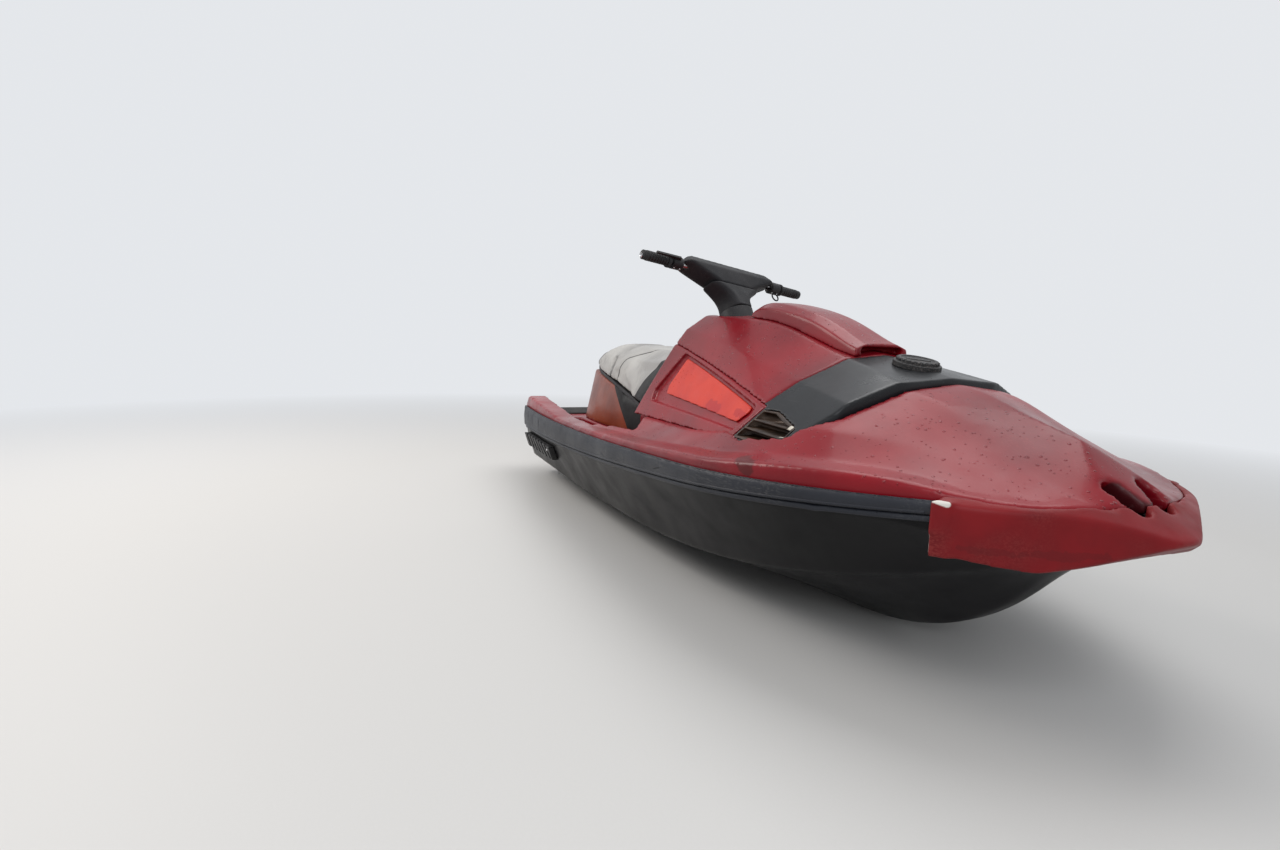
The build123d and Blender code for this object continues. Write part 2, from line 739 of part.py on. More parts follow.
def make_deck_parts():
    """The deck moulding in five areas: hood, stern deck, two gunwales and two footwell tubs."""
    deck = make_deck()
    behind = span_block(-LENGTH, WELL_FRONT_STATION, -FAR, FAR, 0, LENGTH)
    middle = outline_prism(0, LENGTH, -GUNWALE_WIDTH)
    tubs = footwell_plan(0, WELL_FLOOR_Z - WELL_WALL, PLATFORM_Z)
    tubs -= footwell_plan(WELL_WALL, WELL_FLOOR_Z, LENGTH)
    gunwales = sorted(((deck & behind) - middle).solids(), key=lambda solid: solid.volume)[-2:]
    parts = {
        "deck": one_solid(deck - behind),
        "stern_deck": one_solid(deck & behind & middle),
    }
    for piece, solids in (("gunwale_", gunwales), ("footwell_", tubs.solids())):
        starboard, port = sorted(solids, key=lambda solid: solid.center().Y)
        parts[piece + "starboard"] = starboard
        parts[piece + "port"] = port
    return parts


def console_plan(inset, low_z, high_z):
    """The console's outline in plan, drawn in by an inset."""
    port = [
        (CONSOLE_AFT_FOOT - CONSOLE_TAIL + inset, CONSOLE_AFT_HALF - inset),
        (PANEL_FRONT_FOOT[0], (CONSOLE_AFT_HALF + CONSOLE_FRONT_HALF) / 2 + CONSOLE_BELLY - inset),
        (CONSOLE_WIDE_STATION, CONSOLE_FRONT_HALF - inset),
        (CONSOLE_FRONT - CONSOLE_CORNER - inset, CONSOLE_FRONT_HALF - CONSOLE_DRAW_IN - inset),
        (CONSOLE_FRONT - CONSOLE_NOSE_CUT - inset, CONSOLE_FRONT_HALF - CONSOLE_CORNER - inset),
        (CONSOLE_FRONT - inset, CONSOLE_FRONT_HALF / 3),
    ]
    return plan_prism(port, low_z, high_z)


def console_well():
    """The space above the base plane that the console fills."""
    return console_plan(0, BASE_Z - 100, LENGTH) & slope_prism(base_z, 0, FAR)


def console_body(inset=0.0):
    """The whole console as one solid, its skin drawn in by an inset."""
    rings = []
    for row in fair_rows(CONSOLE_SECTIONS, CONSOLE_RINGS):
        station, foot, seam, seam_z, shoulder, shoulder_z, brow, brow_z, roof_z = row
        half = [
            (foot - inset, BASE_Z - 60),
            (foot - inset, base_z(station)),
            (seam - inset, seam_z),
            (shoulder - inset, shoulder_z),
            (brow, brow_z - inset),
            (0.0, roof_z - inset),
        ]
        rings.append((station, half))
    body = loft_rings(rings)
    body &= console_plan(CONSOLE_GAP, 0, LENGTH)
    body &= slope_prism(base_z, 0, FAR)
    rear = (
        (0.0, 0.0),
        (CONSOLE_AFT_FOOT, 0.0),
        (CONSOLE_AFT_FOOT, BASE_Z - 20),
        (CONSOLE_AFT_HEAD, CONSOLE_HEAD_Z),
        (CONSOLE_AFT_HEAD + 20, LENGTH),
        (0.0, LENGTH),
    )
    body -= side_prism(rear, -FAR, FAR)
    return body


def panel_seam_z(station):
    """The height of the seam between cowl and side panel."""
    slope = (PANEL_SEAM_FORE[1] - PANEL_SEAM_AFT[1]) / (PANEL_SEAM_FORE[0] - PANEL_SEAM_AFT[0])
    return PANEL_SEAM_AFT[1] + slope * (station - PANEL_SEAM_AFT[0])


def panel_region():
    """The space of the starboard side panel."""
    lean = (PANEL_SEAM_FORE[0] - PANEL_FRONT_FOOT[0]) / (PANEL_SEAM_FORE[1] - PANEL_FRONT_FOOT[1])
    floor_z = BASE_Z - 100
    corners = (
        (1000.0, floor_z),
        (PANEL_FRONT_FOOT[0] - lean * (PANEL_FRONT_FOOT[1] - floor_z), floor_z),
        PANEL_SEAM_FORE,
        (1000.0, panel_seam_z(1000.0)),
    )
    return side_prism(corners, -FAR, -PANEL_INNER_HALF)


def band_region():
    """The space of the black band, ahead of a curved seam and of the side panels."""
    centre = BAND_CROWN_STATION - BAND_SEAM_RADIUS
    ahead = span_block(centre, LENGTH, -FAR, FAR, 0, LENGTH)
    ahead -= Pos(x_of(centre), 0, LENGTH / 2) * Cylinder(BAND_SEAM_RADIUS, LENGTH)
    lower = (
        (PANEL_FRONT_FOOT[0] - BAND_FOOT_LAP, 0.0),
        (PANEL_FRONT_FOOT[0] - BAND_FOOT_LAP, PANEL_SEAM_FORE[1]),
        (BAND_FOOT_END, PANEL_SEAM_FORE[1]),
        (BAND_FOOT_END, 0.0),
    )
    foot = side_prism(lower, -FAR, -PANEL_INNER_HALF) + side_prism(lower, PANEL_INNER_HALF, FAR)
    return ahead + foot - panel_region() - mirrored(panel_region())


def inset_corners(corners, inset):
    """The corners of a convex outline, listed clockwise, with each side moved inwards."""
    moved = []
    for index, (x, z) in enumerate(corners):
        before = corners[index - 1]
        after = corners[(index + 1) % len(corners)]
        first = Vector(z - before[1], before[0] - x).normalized()
        second = Vector(after[1] - z, x - after[0]).normalized()
        shift = (first + second) * (inset / (1 + first.dot(second)))
        moved.append((x + shift.X, z + shift.Y))
    return moved


def duct_space(inset, depth):
    """The starboard duct, its sides drawn in by an inset."""
    return side_prism(inset_corners(DUCT_CORNERS, inset), -FAR, depth - CONSOLE_FRONT_HALF)


def make_console_parts():
    body = console_body()
    skin_in = console_body(RECESS_DEPTH)
    skin_up = console_body(RECESS_DEPTH - INSERT_STAND)
    parts = {}
    panel = body & panel_region()
    inner_y = -PANEL_INNER_HALF - PANEL_SKIN
    recess = rounded_side_prism(RECESS_CORNERS, RECESS_RADIUS, -FAR, inner_y)
    panel -= recess - skin_in
    insert = (rounded_side_prism(INSERT_CORNERS, INSERT_RADIUS, -FAR, inner_y) & skin_up) - skin_in
    panel = one_solid(panel)
    insert = one_solid(insert)
    band = body & band_region()
    cowl = body - panel_region() - mirrored(panel_region()) - band_region()
    for side in (duct_space(0, DUCT_DEPTH), mirrored(duct_space(0, DUCT_DEPTH))):
        band -= side
    liner = (duct_space(0, DUCT_DEPTH) - duct_space(DUCT_WALL, DUCT_DEPTH - DUCT_WALL)) & body
    low_z = min(z for _, z in DUCT_CORNERS) + DUCT_WALL
    high_z = max(z for _, z in DUCT_CORNERS) - DUCT_WALL
    for index in range(DUCT_VANES):
        z = low_z + (high_z - low_z) * (index + 1) / (DUCT_VANES + 1)
        half = DUCT_VANE_THICKNESS / 2
        vane = span_block(0, LENGTH, -FAR, 0, z - half, z + half)
        liner += vane & duct_space(DUCT_WALL / 2, DUCT_DEPTH - DUCT_WALL / 2) & body
    parts["side_panel_starboard"] = panel
    parts["side_panel_port"] = mirrored(panel)
    parts["panel_insert_starboard"] = insert
    parts["panel_insert_port"] = mirrored(insert)
    parts["black_band"] = one_solid(band)
    parts["air_duct_starboard"] = one_solid(liner)
    parts["air_duct_port"] = mirrored(one_solid(liner))
    collar = collar_solid()
    parts["steering_collar"] = collar
    parts["cowl"] = one_solid(cowl - collar - stem_space() - collar_seat())
    parts["centre_pod"] = one_solid(make_pod(body) - pod_mouth())
    cap, seat = make_cap()
    parts["black_band"] = one_solid(parts["black_band"] - seat)
    parts["filler_cap"] = cap
    return parts


def make_pod(body):
    rings = []
    for station, foot, shoulder, shoulder_z, crown_z in fair_rows(POD_SECTIONS, POD_RINGS):
        half = [
            (foot + 20, BASE_Z + 60),
            (shoulder, shoulder_z),
            (shoulder * 0.6, crown_z),
            (0.0, crown_z + 2),
        ]
        rings.append((station, half))
    return one_solid(loft_rings(rings) - body)


def pod_mouth():
    """The oval recess in the pod's front face."""
    front, top = POD_SECTIONS[-1][0], POD_SECTIONS[-1][4] - POD_MOUTH_TOP
    oval = Plane((x_of(front) + 1, 0, top - POD_MOUTH_RISE / 2), x_dir=(0, 1, 0), z_dir=(-1, 0, 0))
    return extrude(oval * SlotOverall(2 * POD_MOUTH_HALF, POD_MOUTH_RISE), POD_MOUTH_DEPTH + 1)


def make_cap():
    """The filler cap and the space it needs in the band."""
    slope = degrees(atan2(CONSOLE_SECTIONS[3][8] - CONSOLE_SECTIONS[4][8],
                          CONSOLE_SECTIONS[4][0] - CONSOLE_SECTIONS[3][0]))
    share = (CAP_STATION - CONSOLE_SECTIONS[3][0]) / (CONSOLE_SECTIONS[4][0] - CONSOLE_SECTIONS[3][0])
    roof = CONSOLE_SECTIONS[3][8] + share * (CONSOLE_SECTIONS[4][8] - CONSOLE_SECTIONS[3][8])
    place = Location((x_of(CAP_STATION), 0, roof - CAP_SINK), (0, slope, 0))
    base = Cylinder(CAP_BASE_RADIUS, CAP_BASE_HEIGHT + CAP_SINK, align=(Align.CENTER, Align.CENTER, Align.MIN))
    crown = extrude(RegularPolygon(CAP_RADIUS, CAP_FACETS), CAP_HEIGHT + CAP_SINK)
    cap = place * (base + crown)
    seat = place * Cylinder(CAP_BASE_RADIUS, CAP_BASE_HEIGHT + CAP_SINK + 30, align=(Align.CENTER, Align.CENTER, Align.MIN))
    return one_solid(cap), seat


def steer_frame():
    """The steering axis at the cowl, its Z along the axis."""
    return Location((x_of(STEER_STATION), 0, STEER_Z), (0, -STEER_RAKE, 0))


def collar_solid():
    """The round bearing collar in the cowl's roof."""
    ring = Pos(0, 0, -COLLAR_SINK) * Cylinder(
        COLLAR_RADIUS, COLLAR_SINK + COLLAR_HEIGHT, align=(Align.CENTER, Align.CENTER, Align.MIN)
    )
    return one_solid(steer_frame() * ring - stem_space(STEM_FIT))


def collar_seat():
    """The round space above the collar in which the steering neck swings."""
    height = BAR_HEIGHT
    seat = Cylinder(COLLAR_SEAT_RADIUS, height, align=(Align.CENTER, Align.CENTER, Align.MIN))
    return steer_frame() * Pos(0, 0, COLLAR_HEIGHT) * seat


def stem_space(fit=6.0):
    """The hole in which the steering stem turns."""
    depth = STEM_DEPTH + 6.0
    hole = Pos(0, 0, -depth) * Cylinder(
        STEM_RADIUS + fit, depth + 100, align=(Align.CENTER, Align.CENTER, Align.MIN)
    )
    return steer_frame() * hole


def turned(shape):
    """A steering piece, built straight, in its place and turned as the bars stand."""
    return steer_frame() * Rot(0, 0, STEER_AT_REST) * shape


def make_steering():
    parts = {}
    low = COLLAR_HEIGHT + NECK_GAP
    foot = Pos(0, 0, low) * RectangleRounded(NECK_FOOT_LENGTH, NECK_FOOT_WIDTH, NECK_CORNER)
    waist = Pos(0, 0, low + (BAR_HEIGHT - PAD_DROP - low) / 2) * RectangleRounded(
        NECK_FOOT_LENGTH * 0.84, NECK_FOOT_WIDTH * 1.3, NECK_CORNER
    )
    head = Pos(0, 0, BAR_HEIGHT - PAD_DROP) * RectangleRounded(NECK_HEAD_LENGTH, NECK_HEAD_WIDTH, NECK_CORNER)
    neck = loft([foot, waist, head])
    stem = Pos(0, 0, -STEM_DEPTH) * Cylinder(
        STEM_RADIUS, STEM_DEPTH + low + 20, align=(Align.CENTER, Align.CENTER, Align.MIN)
    )
    parts["steering_neck"] = one_solid(neck)
    parts["steering_stem"] = one_solid(stem - neck)
    pad = pad_solid()
    bar = Pos(0, 0, BAR_HEIGHT) * Cylinder(BAR_RADIUS, 2 * BAR_HALF_WIDTH, rotation=(90, 0, 0))
    parts["steering_neck"] = one_solid(parts["steering_neck"] - pad)
    parts["handlebar"] = one_solid(bar)
    parts["handlebar_pad"] = one_solid(pad - bar)
    for name, side in (("port", 1), ("starboard", -1)):
        parts["grip_" + name] = grip_solid(side) - bar
    start = BAR_HALF_WIDTH - GRIP_LENGTH - BOX_GAP
    for name, side in (("throttle_box", -1), ("switch_box", 1)):
        centre = side * (start - BOX_LENGTH / 2)
        box = Pos(0, centre, BAR_HEIGHT) * Cylinder(BOX_RADIUS, BOX_LENGTH, rotation=(90, 0, 0))
        parts[name] = one_solid(box - bar)
    parts["throttle_lever"] = lever_solid(start)
    parts["control_loops"] = loops_solid(start)
    return {name: turned(shape) for name, shape in parts.items()}


def pad_solid():
    """The padded cover of the bar, a wedge that narrows down to the neck."""
    low = Pos(0, 0, BAR_HEIGHT - PAD_DROP) * RectangleRounded(NECK_HEAD_LENGTH, NECK_HEAD_WIDTH, NECK_CORNER)
    middle = Pos(0, 0, BAR_HEIGHT) * RectangleRounded(PAD_LENGTH, PAD_HALF_WIDTH * 2, NECK_CORNER)
    high = Pos(0, 0, BAR_HEIGHT + PAD_RISE) * RectangleRounded(PAD_LENGTH * 0.6, PAD_HALF_WIDTH * 1.8, NECK_CORNER * 0.8)
    return loft([low, middle, high], ruled=True)


def grip_solid(side):
    length = GRIP_LENGTH
    body = Cylinder(GRIP_RADIUS, length)
    flange = Pos(0, 0, -length / 2 + GRIP_FLANGE / 2) * Cylinder(GRIP_FLANGE_RADIUS, GRIP_FLANGE)
    step = (length - 3 * GRIP_FLANGE) / GRIP_RIBS
    for index in range(GRIP_RIBS):
        z = -length / 2 + 2 * GRIP_FLANGE + step * index
        body += Pos(0, 0, z) * Cylinder(GRIP_RADIUS + 1.5, step / 2)
    grip = body + flange
    return Pos(0, side * (BAR_HALF_WIDTH - length / 2 + 4), BAR_HEIGHT) * Rot(-90 * side, 0, 0) * grip


def lever_solid(start):
    """The throttle lever in front of the starboard grip."""
    corners = [
        (BOX_RADIUS - 6, -start + BOX_LENGTH * 0.7),
        (BOX_RADIUS + 14, -start + BOX_LENGTH * 0.5),
        (BOX_RADIUS + 12, -start - LEVER_LENGTH),
        (BOX_RADIUS + 4, -start - LEVER_LENGTH),
        (BOX_RADIUS + 2, -start + BOX_LENGTH * 0.1),
        (BOX_RADIUS - 6, -start + BOX_LENGTH * 0.2),
    ]
    lever = extrude(make_face(Polyline(*corners, close=True)), LEVER_THICKNESS)
    placed = Pos(0, 0, BAR_HEIGHT - LEVER_THICKNESS / 2) * lever
    box = Pos(0, -(start - BOX_LENGTH / 2), BAR_HEIGHT) * Cylinder(BOX_RADIUS, BOX_LENGTH, rotation=(90, 0, 0))
    return one_solid(placed - box)


def loops_solid(start):
    """The small cable loop under the port switch box."""
    ring = Torus(LOOP_RADIUS, LOOP_WIRE)
    place = Location((0, start - BOX_LENGTH / 2, BAR_HEIGHT - BOX_RADIUS - LOOP_RADIUS), (0, 90, 0))
    box = Pos(0, start - BOX_LENGTH / 2, BAR_HEIGHT) * Cylinder(BOX_RADIUS, BOX_LENGTH, rotation=(90, 0, 0))
    return one_solid(place * ring - box)


def rail_profile(top_drop, low_drop, end):
    """A rail in side view between its top and low lines."""
    middle = end / 2
    top = ThreePointArc(
        (x_of(0), 0, RAIL_TOP_AT_STERN - top_drop),
        (x_of(middle), 0, RAIL_TOP_MIDDLE - top_drop),
        (x_of(end), 0, RAIL_TOP_AT_BOW - top_drop),
    )
    low = ThreePointArc(
        (x_of(0), 0, RAIL_LOW_AT_STERN + low_drop),
        (x_of(middle), 0, RAIL_LOW_MIDDLE + low_drop),
        (x_of(end), 0, RAIL_LOW_AT_BOW + low_drop),
    )
    closing = [Line(top @ 0, low @ 0), Line(top @ 1, low @ 1)]
    face = Face(Wire([top.edge(), low.edge()] + [line.edge() for line in closing]))
    return Solid.extrude(face.translate((0, -FAR, 0)), Vector(0, FAR, 0))


def make_rail():
    """The starboard rub rail with its lower bead."""
    profile = rail_profile(0.0, BEAD_HEIGHT, RAIL_END_STATION)
    bead_profile = rail_profile(60.0, 0.0, RAIL_END_STATION)
    inner = outline_prism(0, LENGTH)
    rail = (outline_prism(0, LENGTH, RAIL_THICKNESS) - inner) & profile
    bead = (outline_prism(0, LENGTH, BEAD_THICKNESS) - inner) & bead_profile
    return one_solid(rail + bead - stern_corner(-1))


def make_bumper():
    """The bow bumper: a wrap round the nose with a two-tier band at each end."""
    base_radius = NOSE_RADIUS + BUMPER_THICKNESS
    base_station = STEM_STATION - NOSE_RADIUS
    nose_station = LENGTH - BUMPER_NOSE_RADIUS
    tangent = acos((base_radius - BUMPER_NOSE_RADIUS) / (nose_station - base_station))
    nose = plan_prism(
        (
            (base_station, base_radius * sin(tangent)),
            (base_station + base_radius * cos(tangent), base_radius * sin(tangent)),
            (nose_station + BUMPER_NOSE_RADIUS * cos(tangent), BUMPER_NOSE_RADIUS * sin(tangent)),
        ),
        0,
        LENGTH,
    )
    nose += Pos(x_of(nose_station), 0, LENGTH / 2) * Cylinder(BUMPER_NOSE_RADIUS, LENGTH)
    inner = outline_prism(0, LENGTH)
    wrap = outline_prism(0, LENGTH, BUMPER_THICKNESS) + nose
    bumper = (wrap & side_prism(BUMPER_PROFILE, -FAR, FAR) & hood_body()) - inner
    for low_z, high_z, stand in BUMPER_TIERS:
        tier = outline_prism(low_z, high_z, BUMPER_THICKNESS + stand) - inner
        bumper += tier & span_block(BUMPER_START, BUMPER_START + BUMPER_BAND_LENGTH, -FAR, FAR, 0, LENGTH)
    bumper -= tow_recess(-1) + tow_recess(1)
    return one_solid(bumper)


def seat_body():
    rings = []
    for station, low_z, foot, shoulder, shoulder_z, crown_z in fair_rows(SEAT_SECTIONS, SEAT_RINGS):
        half = [
            (foot, low_z),
            (foot, low_z + 16),
            (shoulder, shoulder_z),
            (shoulder * 0.55, crown_z),
            (0.0, crown_z + 3),
        ]
        rings.append((station, half))
    body = loft_rings(rings)
    rear = (
        (CONSOLE_AFT_FOOT - SEAT_CONSOLE_GAP, 0.0),
        (CONSOLE_AFT_FOOT - SEAT_CONSOLE_GAP, BASE_Z - 20),
        (CONSOLE_AFT_HEAD - SEAT_CONSOLE_GAP, CONSOLE_HEAD_Z),
        (LENGTH, CONSOLE_HEAD_Z),
        (LENGTH, 0.0),
    )
    return body - side_prism(rear, -FAR, FAR)


def seat_low_z(station):
    """The height of the seat's underside, between its first and last sections."""
    first = SEAT_SECTIONS[0]
    last = SEAT_SECTIONS[-1]
    return first[1] + (last[1] - first[1]) * (station - first[0]) / (last[0] - first[0])


def make_seat():
    body = seat_body()
    parts = {}
    rest = slope_prism(seat_low_z, SEAT_REST, FAR)
    cushion = body & rest
    half_gap = SEAT_SPLIT_GAP / 2
    parts["seat_rear"] = one_solid(cushion & span_block(0, SEAT_SPLIT_STATION - half_gap, -FAR, FAR, 0, LENGTH))
    parts["seat_front"] = one_solid(cushion & span_block(SEAT_SPLIT_STATION + half_gap, LENGTH, -FAR, FAR, 0, LENGTH))
    plan = [(row[0] if index else row[0] + TRAY_INSET, row[2] - TRAY_INSET) for index, row in enumerate(SEAT_SECTIONS)]
    plan[-1] = (CONSOLE_AFT_FOOT - SEAT_CONSOLE_GAP - 4, plan[-1][1])
    tray = plan_prism(plan, 0, LENGTH) & slope_prism(seat_low_z, -TRAY_THICKNESS, 0)
    parts["seat_tray"] = one_solid(tray)
    rings = []
    for station, foot, head in PEDESTAL_SECTIONS:
        half = [(foot, PLATFORM_Z - 80), (foot, PLATFORM_Z), (head, PEDESTAL_HEAD_Z), (0.0, PEDESTAL_HEAD_Z)]
        rings.append((station, half))
    outer = loft_rings(rings)
    outer &= slope_prism(seat_low_z, -FAR, -TRAY_THICKNESS)
    outer &= span_block(0, DECK_SECTIONS[0][0] - PEDESTAL_GAP, -FAR, FAR, 0, LENGTH)
    deck_top = span_block(0, LENGTH, -FAR, FAR, 0, PLATFORM_Z)
    pedestal = outer - deck_top
    hollow = span_block(BAY_START, LENGTH, -BAY_HALF, BAY_HALF, 0, LENGTH)
    pedestal -= hollow
    parts["seat_pedestal"] = one_solid(pedestal)
    latch_end = PEDESTAL_SECTIONS[0][0]
    latch_top = seat_low_z(latch_end) - TRAY_THICKNESS - LATCH_DROP
    parts["seat_latch"] = span_block(
        latch_end - LATCH_DEPTH, latch_end, -LATCH_HALF, LATCH_HALF, latch_top - LATCH_HEIGHT, latch_top
    )
    return parts


def make_engine():
    return span_block(
        ENGINE_START, ENGINE_START + ENGINE_LENGTH, -ENGINE_WIDTH / 2, ENGINE_WIDTH / 2,
        BAY_FLOOR_Z, BAY_FLOOR_Z + ENGINE_HEIGHT,
    )


def make_mats():
    wells = footwell_plan(WELL_WALL + MAT_MARGIN, WELL_FLOOR_Z, WELL_FLOOR_Z + MAT_THICKNESS)
    halves = sorted(wells.solids(), key=lambda solid: solid.center().Y)
    stern = outline_prism(PLATFORM_Z, PLATFORM_Z + MAT_THICKNESS, -GUNWALE_WIDTH - MAT_MARGIN)
    stern &= span_block(TRANSOM_STATION + MAT_MARGIN, GRAB_STATION - 30, -FAR, FAR, 0, LENGTH)
    return {
        "footwell_mat_starboard": halves[0],
        "footwell_mat_port": halves[-1],
        "platform_mat": one_solid(stern),
    }


def make_grab_handle():
    """The stern grab handle: a bent tube on two feet."""
    x = x_of(GRAB_STATION)
    z = PLATFORM_Z
    points = [
        (x, -GRAB_HALF, z),
        (x, -GRAB_HALF, z + GRAB_RISE),
        (x, GRAB_HALF, z + GRAB_RISE),
        (x, GRAB_HALF, z),
    ]
    path = FilletPolyline(*points, radius=GRAB_RISE * 0.45)
    tube = sweep(Plane(path @ 0, z_dir=path % 0) * Circle(GRAB_RADIUS), path)
    return one_solid(tube)


def make_sponson(hull):
    """The starboard sponson: a board on the hull's side with a toothed outer edge."""
    start = SPONSON_START
    end = SPONSON_START + SPONSON_LENGTH
    profile = (
        (start, SPONSON_LOW_Z),
        (start, SPONSON_TOP_Z),
        (end - SPONSON_NOSE, SPONSON_TOP_Z + SPONSON_RISE),
        (end, SPONSON_TOP_Z + SPONSON_RISE),
        (end - SPONSON_NOSE, SPONSON_LOW_Z + SPONSON_RISE),
    )
    board = side_prism(profile, -FAR, -TUNNEL_HALF) & hull_body(SPONSON_STAND)
    pitch = SPONSON_LENGTH / (SPONSON_TEETH + 1)
    for index in range(SPONSON_TEETH):
        first = start + pitch * (index + 1) - SPONSON_NOTCH / 2
        notch = span_block(first, first + SPONSON_NOTCH, -FAR, 0, 0, LENGTH)
        board -= notch - hull_body(SPONSON_STAND - SPONSON_TOOTH)
    return one_solid(board - hull)


def make_ride_plate():
    plate = span_block(RIDE_PLATE_START, TUNNEL_END, -TUNNEL_HALF, TUNNEL_HALF, 0, RIDE_PLATE_EDGE)
    plate -= span_block(
        0, TUNNEL_END - 24, -TUNNEL_HALF + 12, TUNNEL_HALF - 12, RIDE_PLATE_THICKNESS, RIDE_PLATE_EDGE + 1
    )
    return one_solid(plate - axial(FLANGE_RADIUS + FLANGE_GAP, RIDE_PLATE_START, TUNNEL_END))


def axial(radius, first, last):
    """A cylinder along the pump's axis between two stations."""
    return Pos(x_of((first + last) / 2), 0, PUMP_Z) * Cylinder(radius, last - first, rotation=(0, 90, 0))


def axial_cone(first, first_radius, last, last_radius):
    """A cone along the pump's axis between two stations."""
    cone = Cone(first_radius, last_radius, last - first, rotation=(0, 90, 0))
    return Pos(x_of((first + last) / 2), 0, PUMP_Z) * cone


def make_pump():
    inner = HOUSING_RADIUS - HOUSING_WALL
    body = axial(HOUSING_RADIUS, HOUSING_AFT, TUNNEL_END)
    body += axial(FLANGE_RADIUS, TUNNEL_END - FLANGE_THICKNESS, TUNNEL_END)
    body += axial_cone(CONE_START, CONE_END_RADIUS, HOUSING_AFT, HOUSING_RADIUS)
    body += axial(CONE_END_RADIUS, CONE_END, CONE_START)
    body -= axial(inner, HOUSING_AFT, TUNNEL_END)
    body -= axial_cone(CONE_START, CONE_END_RADIUS - CONE_WALL, HOUSING_AFT, inner)
    body -= axial(CONE_END_RADIUS - CONE_WALL, CONE_END, CONE_START)
    hub = axial(STATOR_HUB_RADIUS, HOUSING_AFT, HOUSING_AFT + STATOR_LENGTH)
    hub += axial_cone(CONE_START, STATOR_HUB_RADIUS / 3, HOUSING_AFT, STATOR_HUB_RADIUS)
    for index in range(STATOR_VANES):
        vane = Pos(x_of(HOUSING_AFT + STATOR_LENGTH / 2), 0, PUMP_Z) * Rot(360 / STATOR_VANES * index, 0, 0) * Pos(
            0, 0, (inner + 2) / 2
        ) * Box(STATOR_LENGTH, VANE_THICKNESS, inner + 2)
        hub += vane
    body += hub
    body -= axial(SHAFT_RADIUS + SHAFT_FIT, HOUSING_AFT, TUNNEL_END)
    body += nozzle_ears()
    body += bucket_bosses()
    return one_solid(body)


def nozzle_ears():
    """The two fixed ears that hold the nozzle's pivot pins."""
    reach = NOZZLE_RADIUS + NOZZLE_EAR_GAP
    ears = None
    for side in (1, -1):
        low = reach if side > 0 else -reach - NOZZLE_EAR_THICKNESS
        ear = span_block(
            NOZZLE_PIVOT_STATION - NOZZLE_EAR_HALF, HOUSING_AFT + 8, -NOZZLE_EAR_HALF, NOZZLE_EAR_HALF,
            PUMP_Z + low, PUMP_Z + low + NOZZLE_EAR_THICKNESS,
        )
        ears = ear if ears is None else ears + ear
    hole = Pos(x_of(NOZZLE_PIVOT_STATION), 0, PUMP_Z) * Cylinder(NOZZLE_PIN_RADIUS + SHAFT_FIT, 4 * NOZZLE_RADIUS)
    return ears - hole


def make_nozzle():
    body = axial(NOZZLE_RADIUS, NOZZLE_PIVOT_STATION - 20, NOZZLE_FRONT)
    body += axial_cone(NOZZLE_AFT, NOZZLE_EXIT_RADIUS, NOZZLE_PIVOT_STATION - 20, NOZZLE_RADIUS)
    pin_half = NOZZLE_RADIUS + NOZZLE_EAR_GAP + NOZZLE_EAR_THICKNESS
    body += Pos(x_of(NOZZLE_PIVOT_STATION), 0, PUMP_Z) * Cylinder(NOZZLE_PIN_RADIUS, 2 * pin_half)
    inner = NOZZLE_RADIUS - NOZZLE_WALL
    body -= axial(inner, NOZZLE_PIVOT_STATION - 20, NOZZLE_FRONT)
    body -= axial_cone(NOZZLE_AFT, NOZZLE_EXIT_RADIUS - NOZZLE_WALL, NOZZLE_PIVOT_STATION - 20, inner)
    turn = Pos(x_of(NOZZLE_PIVOT_STATION), 0, 0) * Rot(0, 0, -STEER_AT_REST * NOZZLE_RATIO) * Pos(
        -x_of(NOZZLE_PIVOT_STATION), 0, 0
    )
    return turn * one_solid(body)


def bucket_bosses():
    """The pins on the pump housing that carry the reverse bucket."""
    length = 2 * (BUCKET_HALF + 6)
    pin = Pos(x_of(BUCKET_PIVOT_STATION), 0, PUMP_Z) * Cylinder(BUCKET_PIN_RADIUS, length, rotation=(90, 0, 0))
    boss = Pos(x_of(BUCKET_PIVOT_STATION), 0, PUMP_Z) * Cylinder(
        BUCKET_PIN_BOSS, 2 * (BUCKET_HALF - BUCKET_THICKNESS - 2), rotation=(90, 0, 0)
    )
    core = axial_cone(CONE_START, CONE_END_RADIUS - 1, HOUSING_AFT, HOUSING_RADIUS - 1)
    core += axial(CONE_END_RADIUS - 1, CONE_END, CONE_START)
    core += axial(HOUSING_RADIUS - 1, HOUSING_AFT, TUNNEL_END)
    return (pin + boss) - core


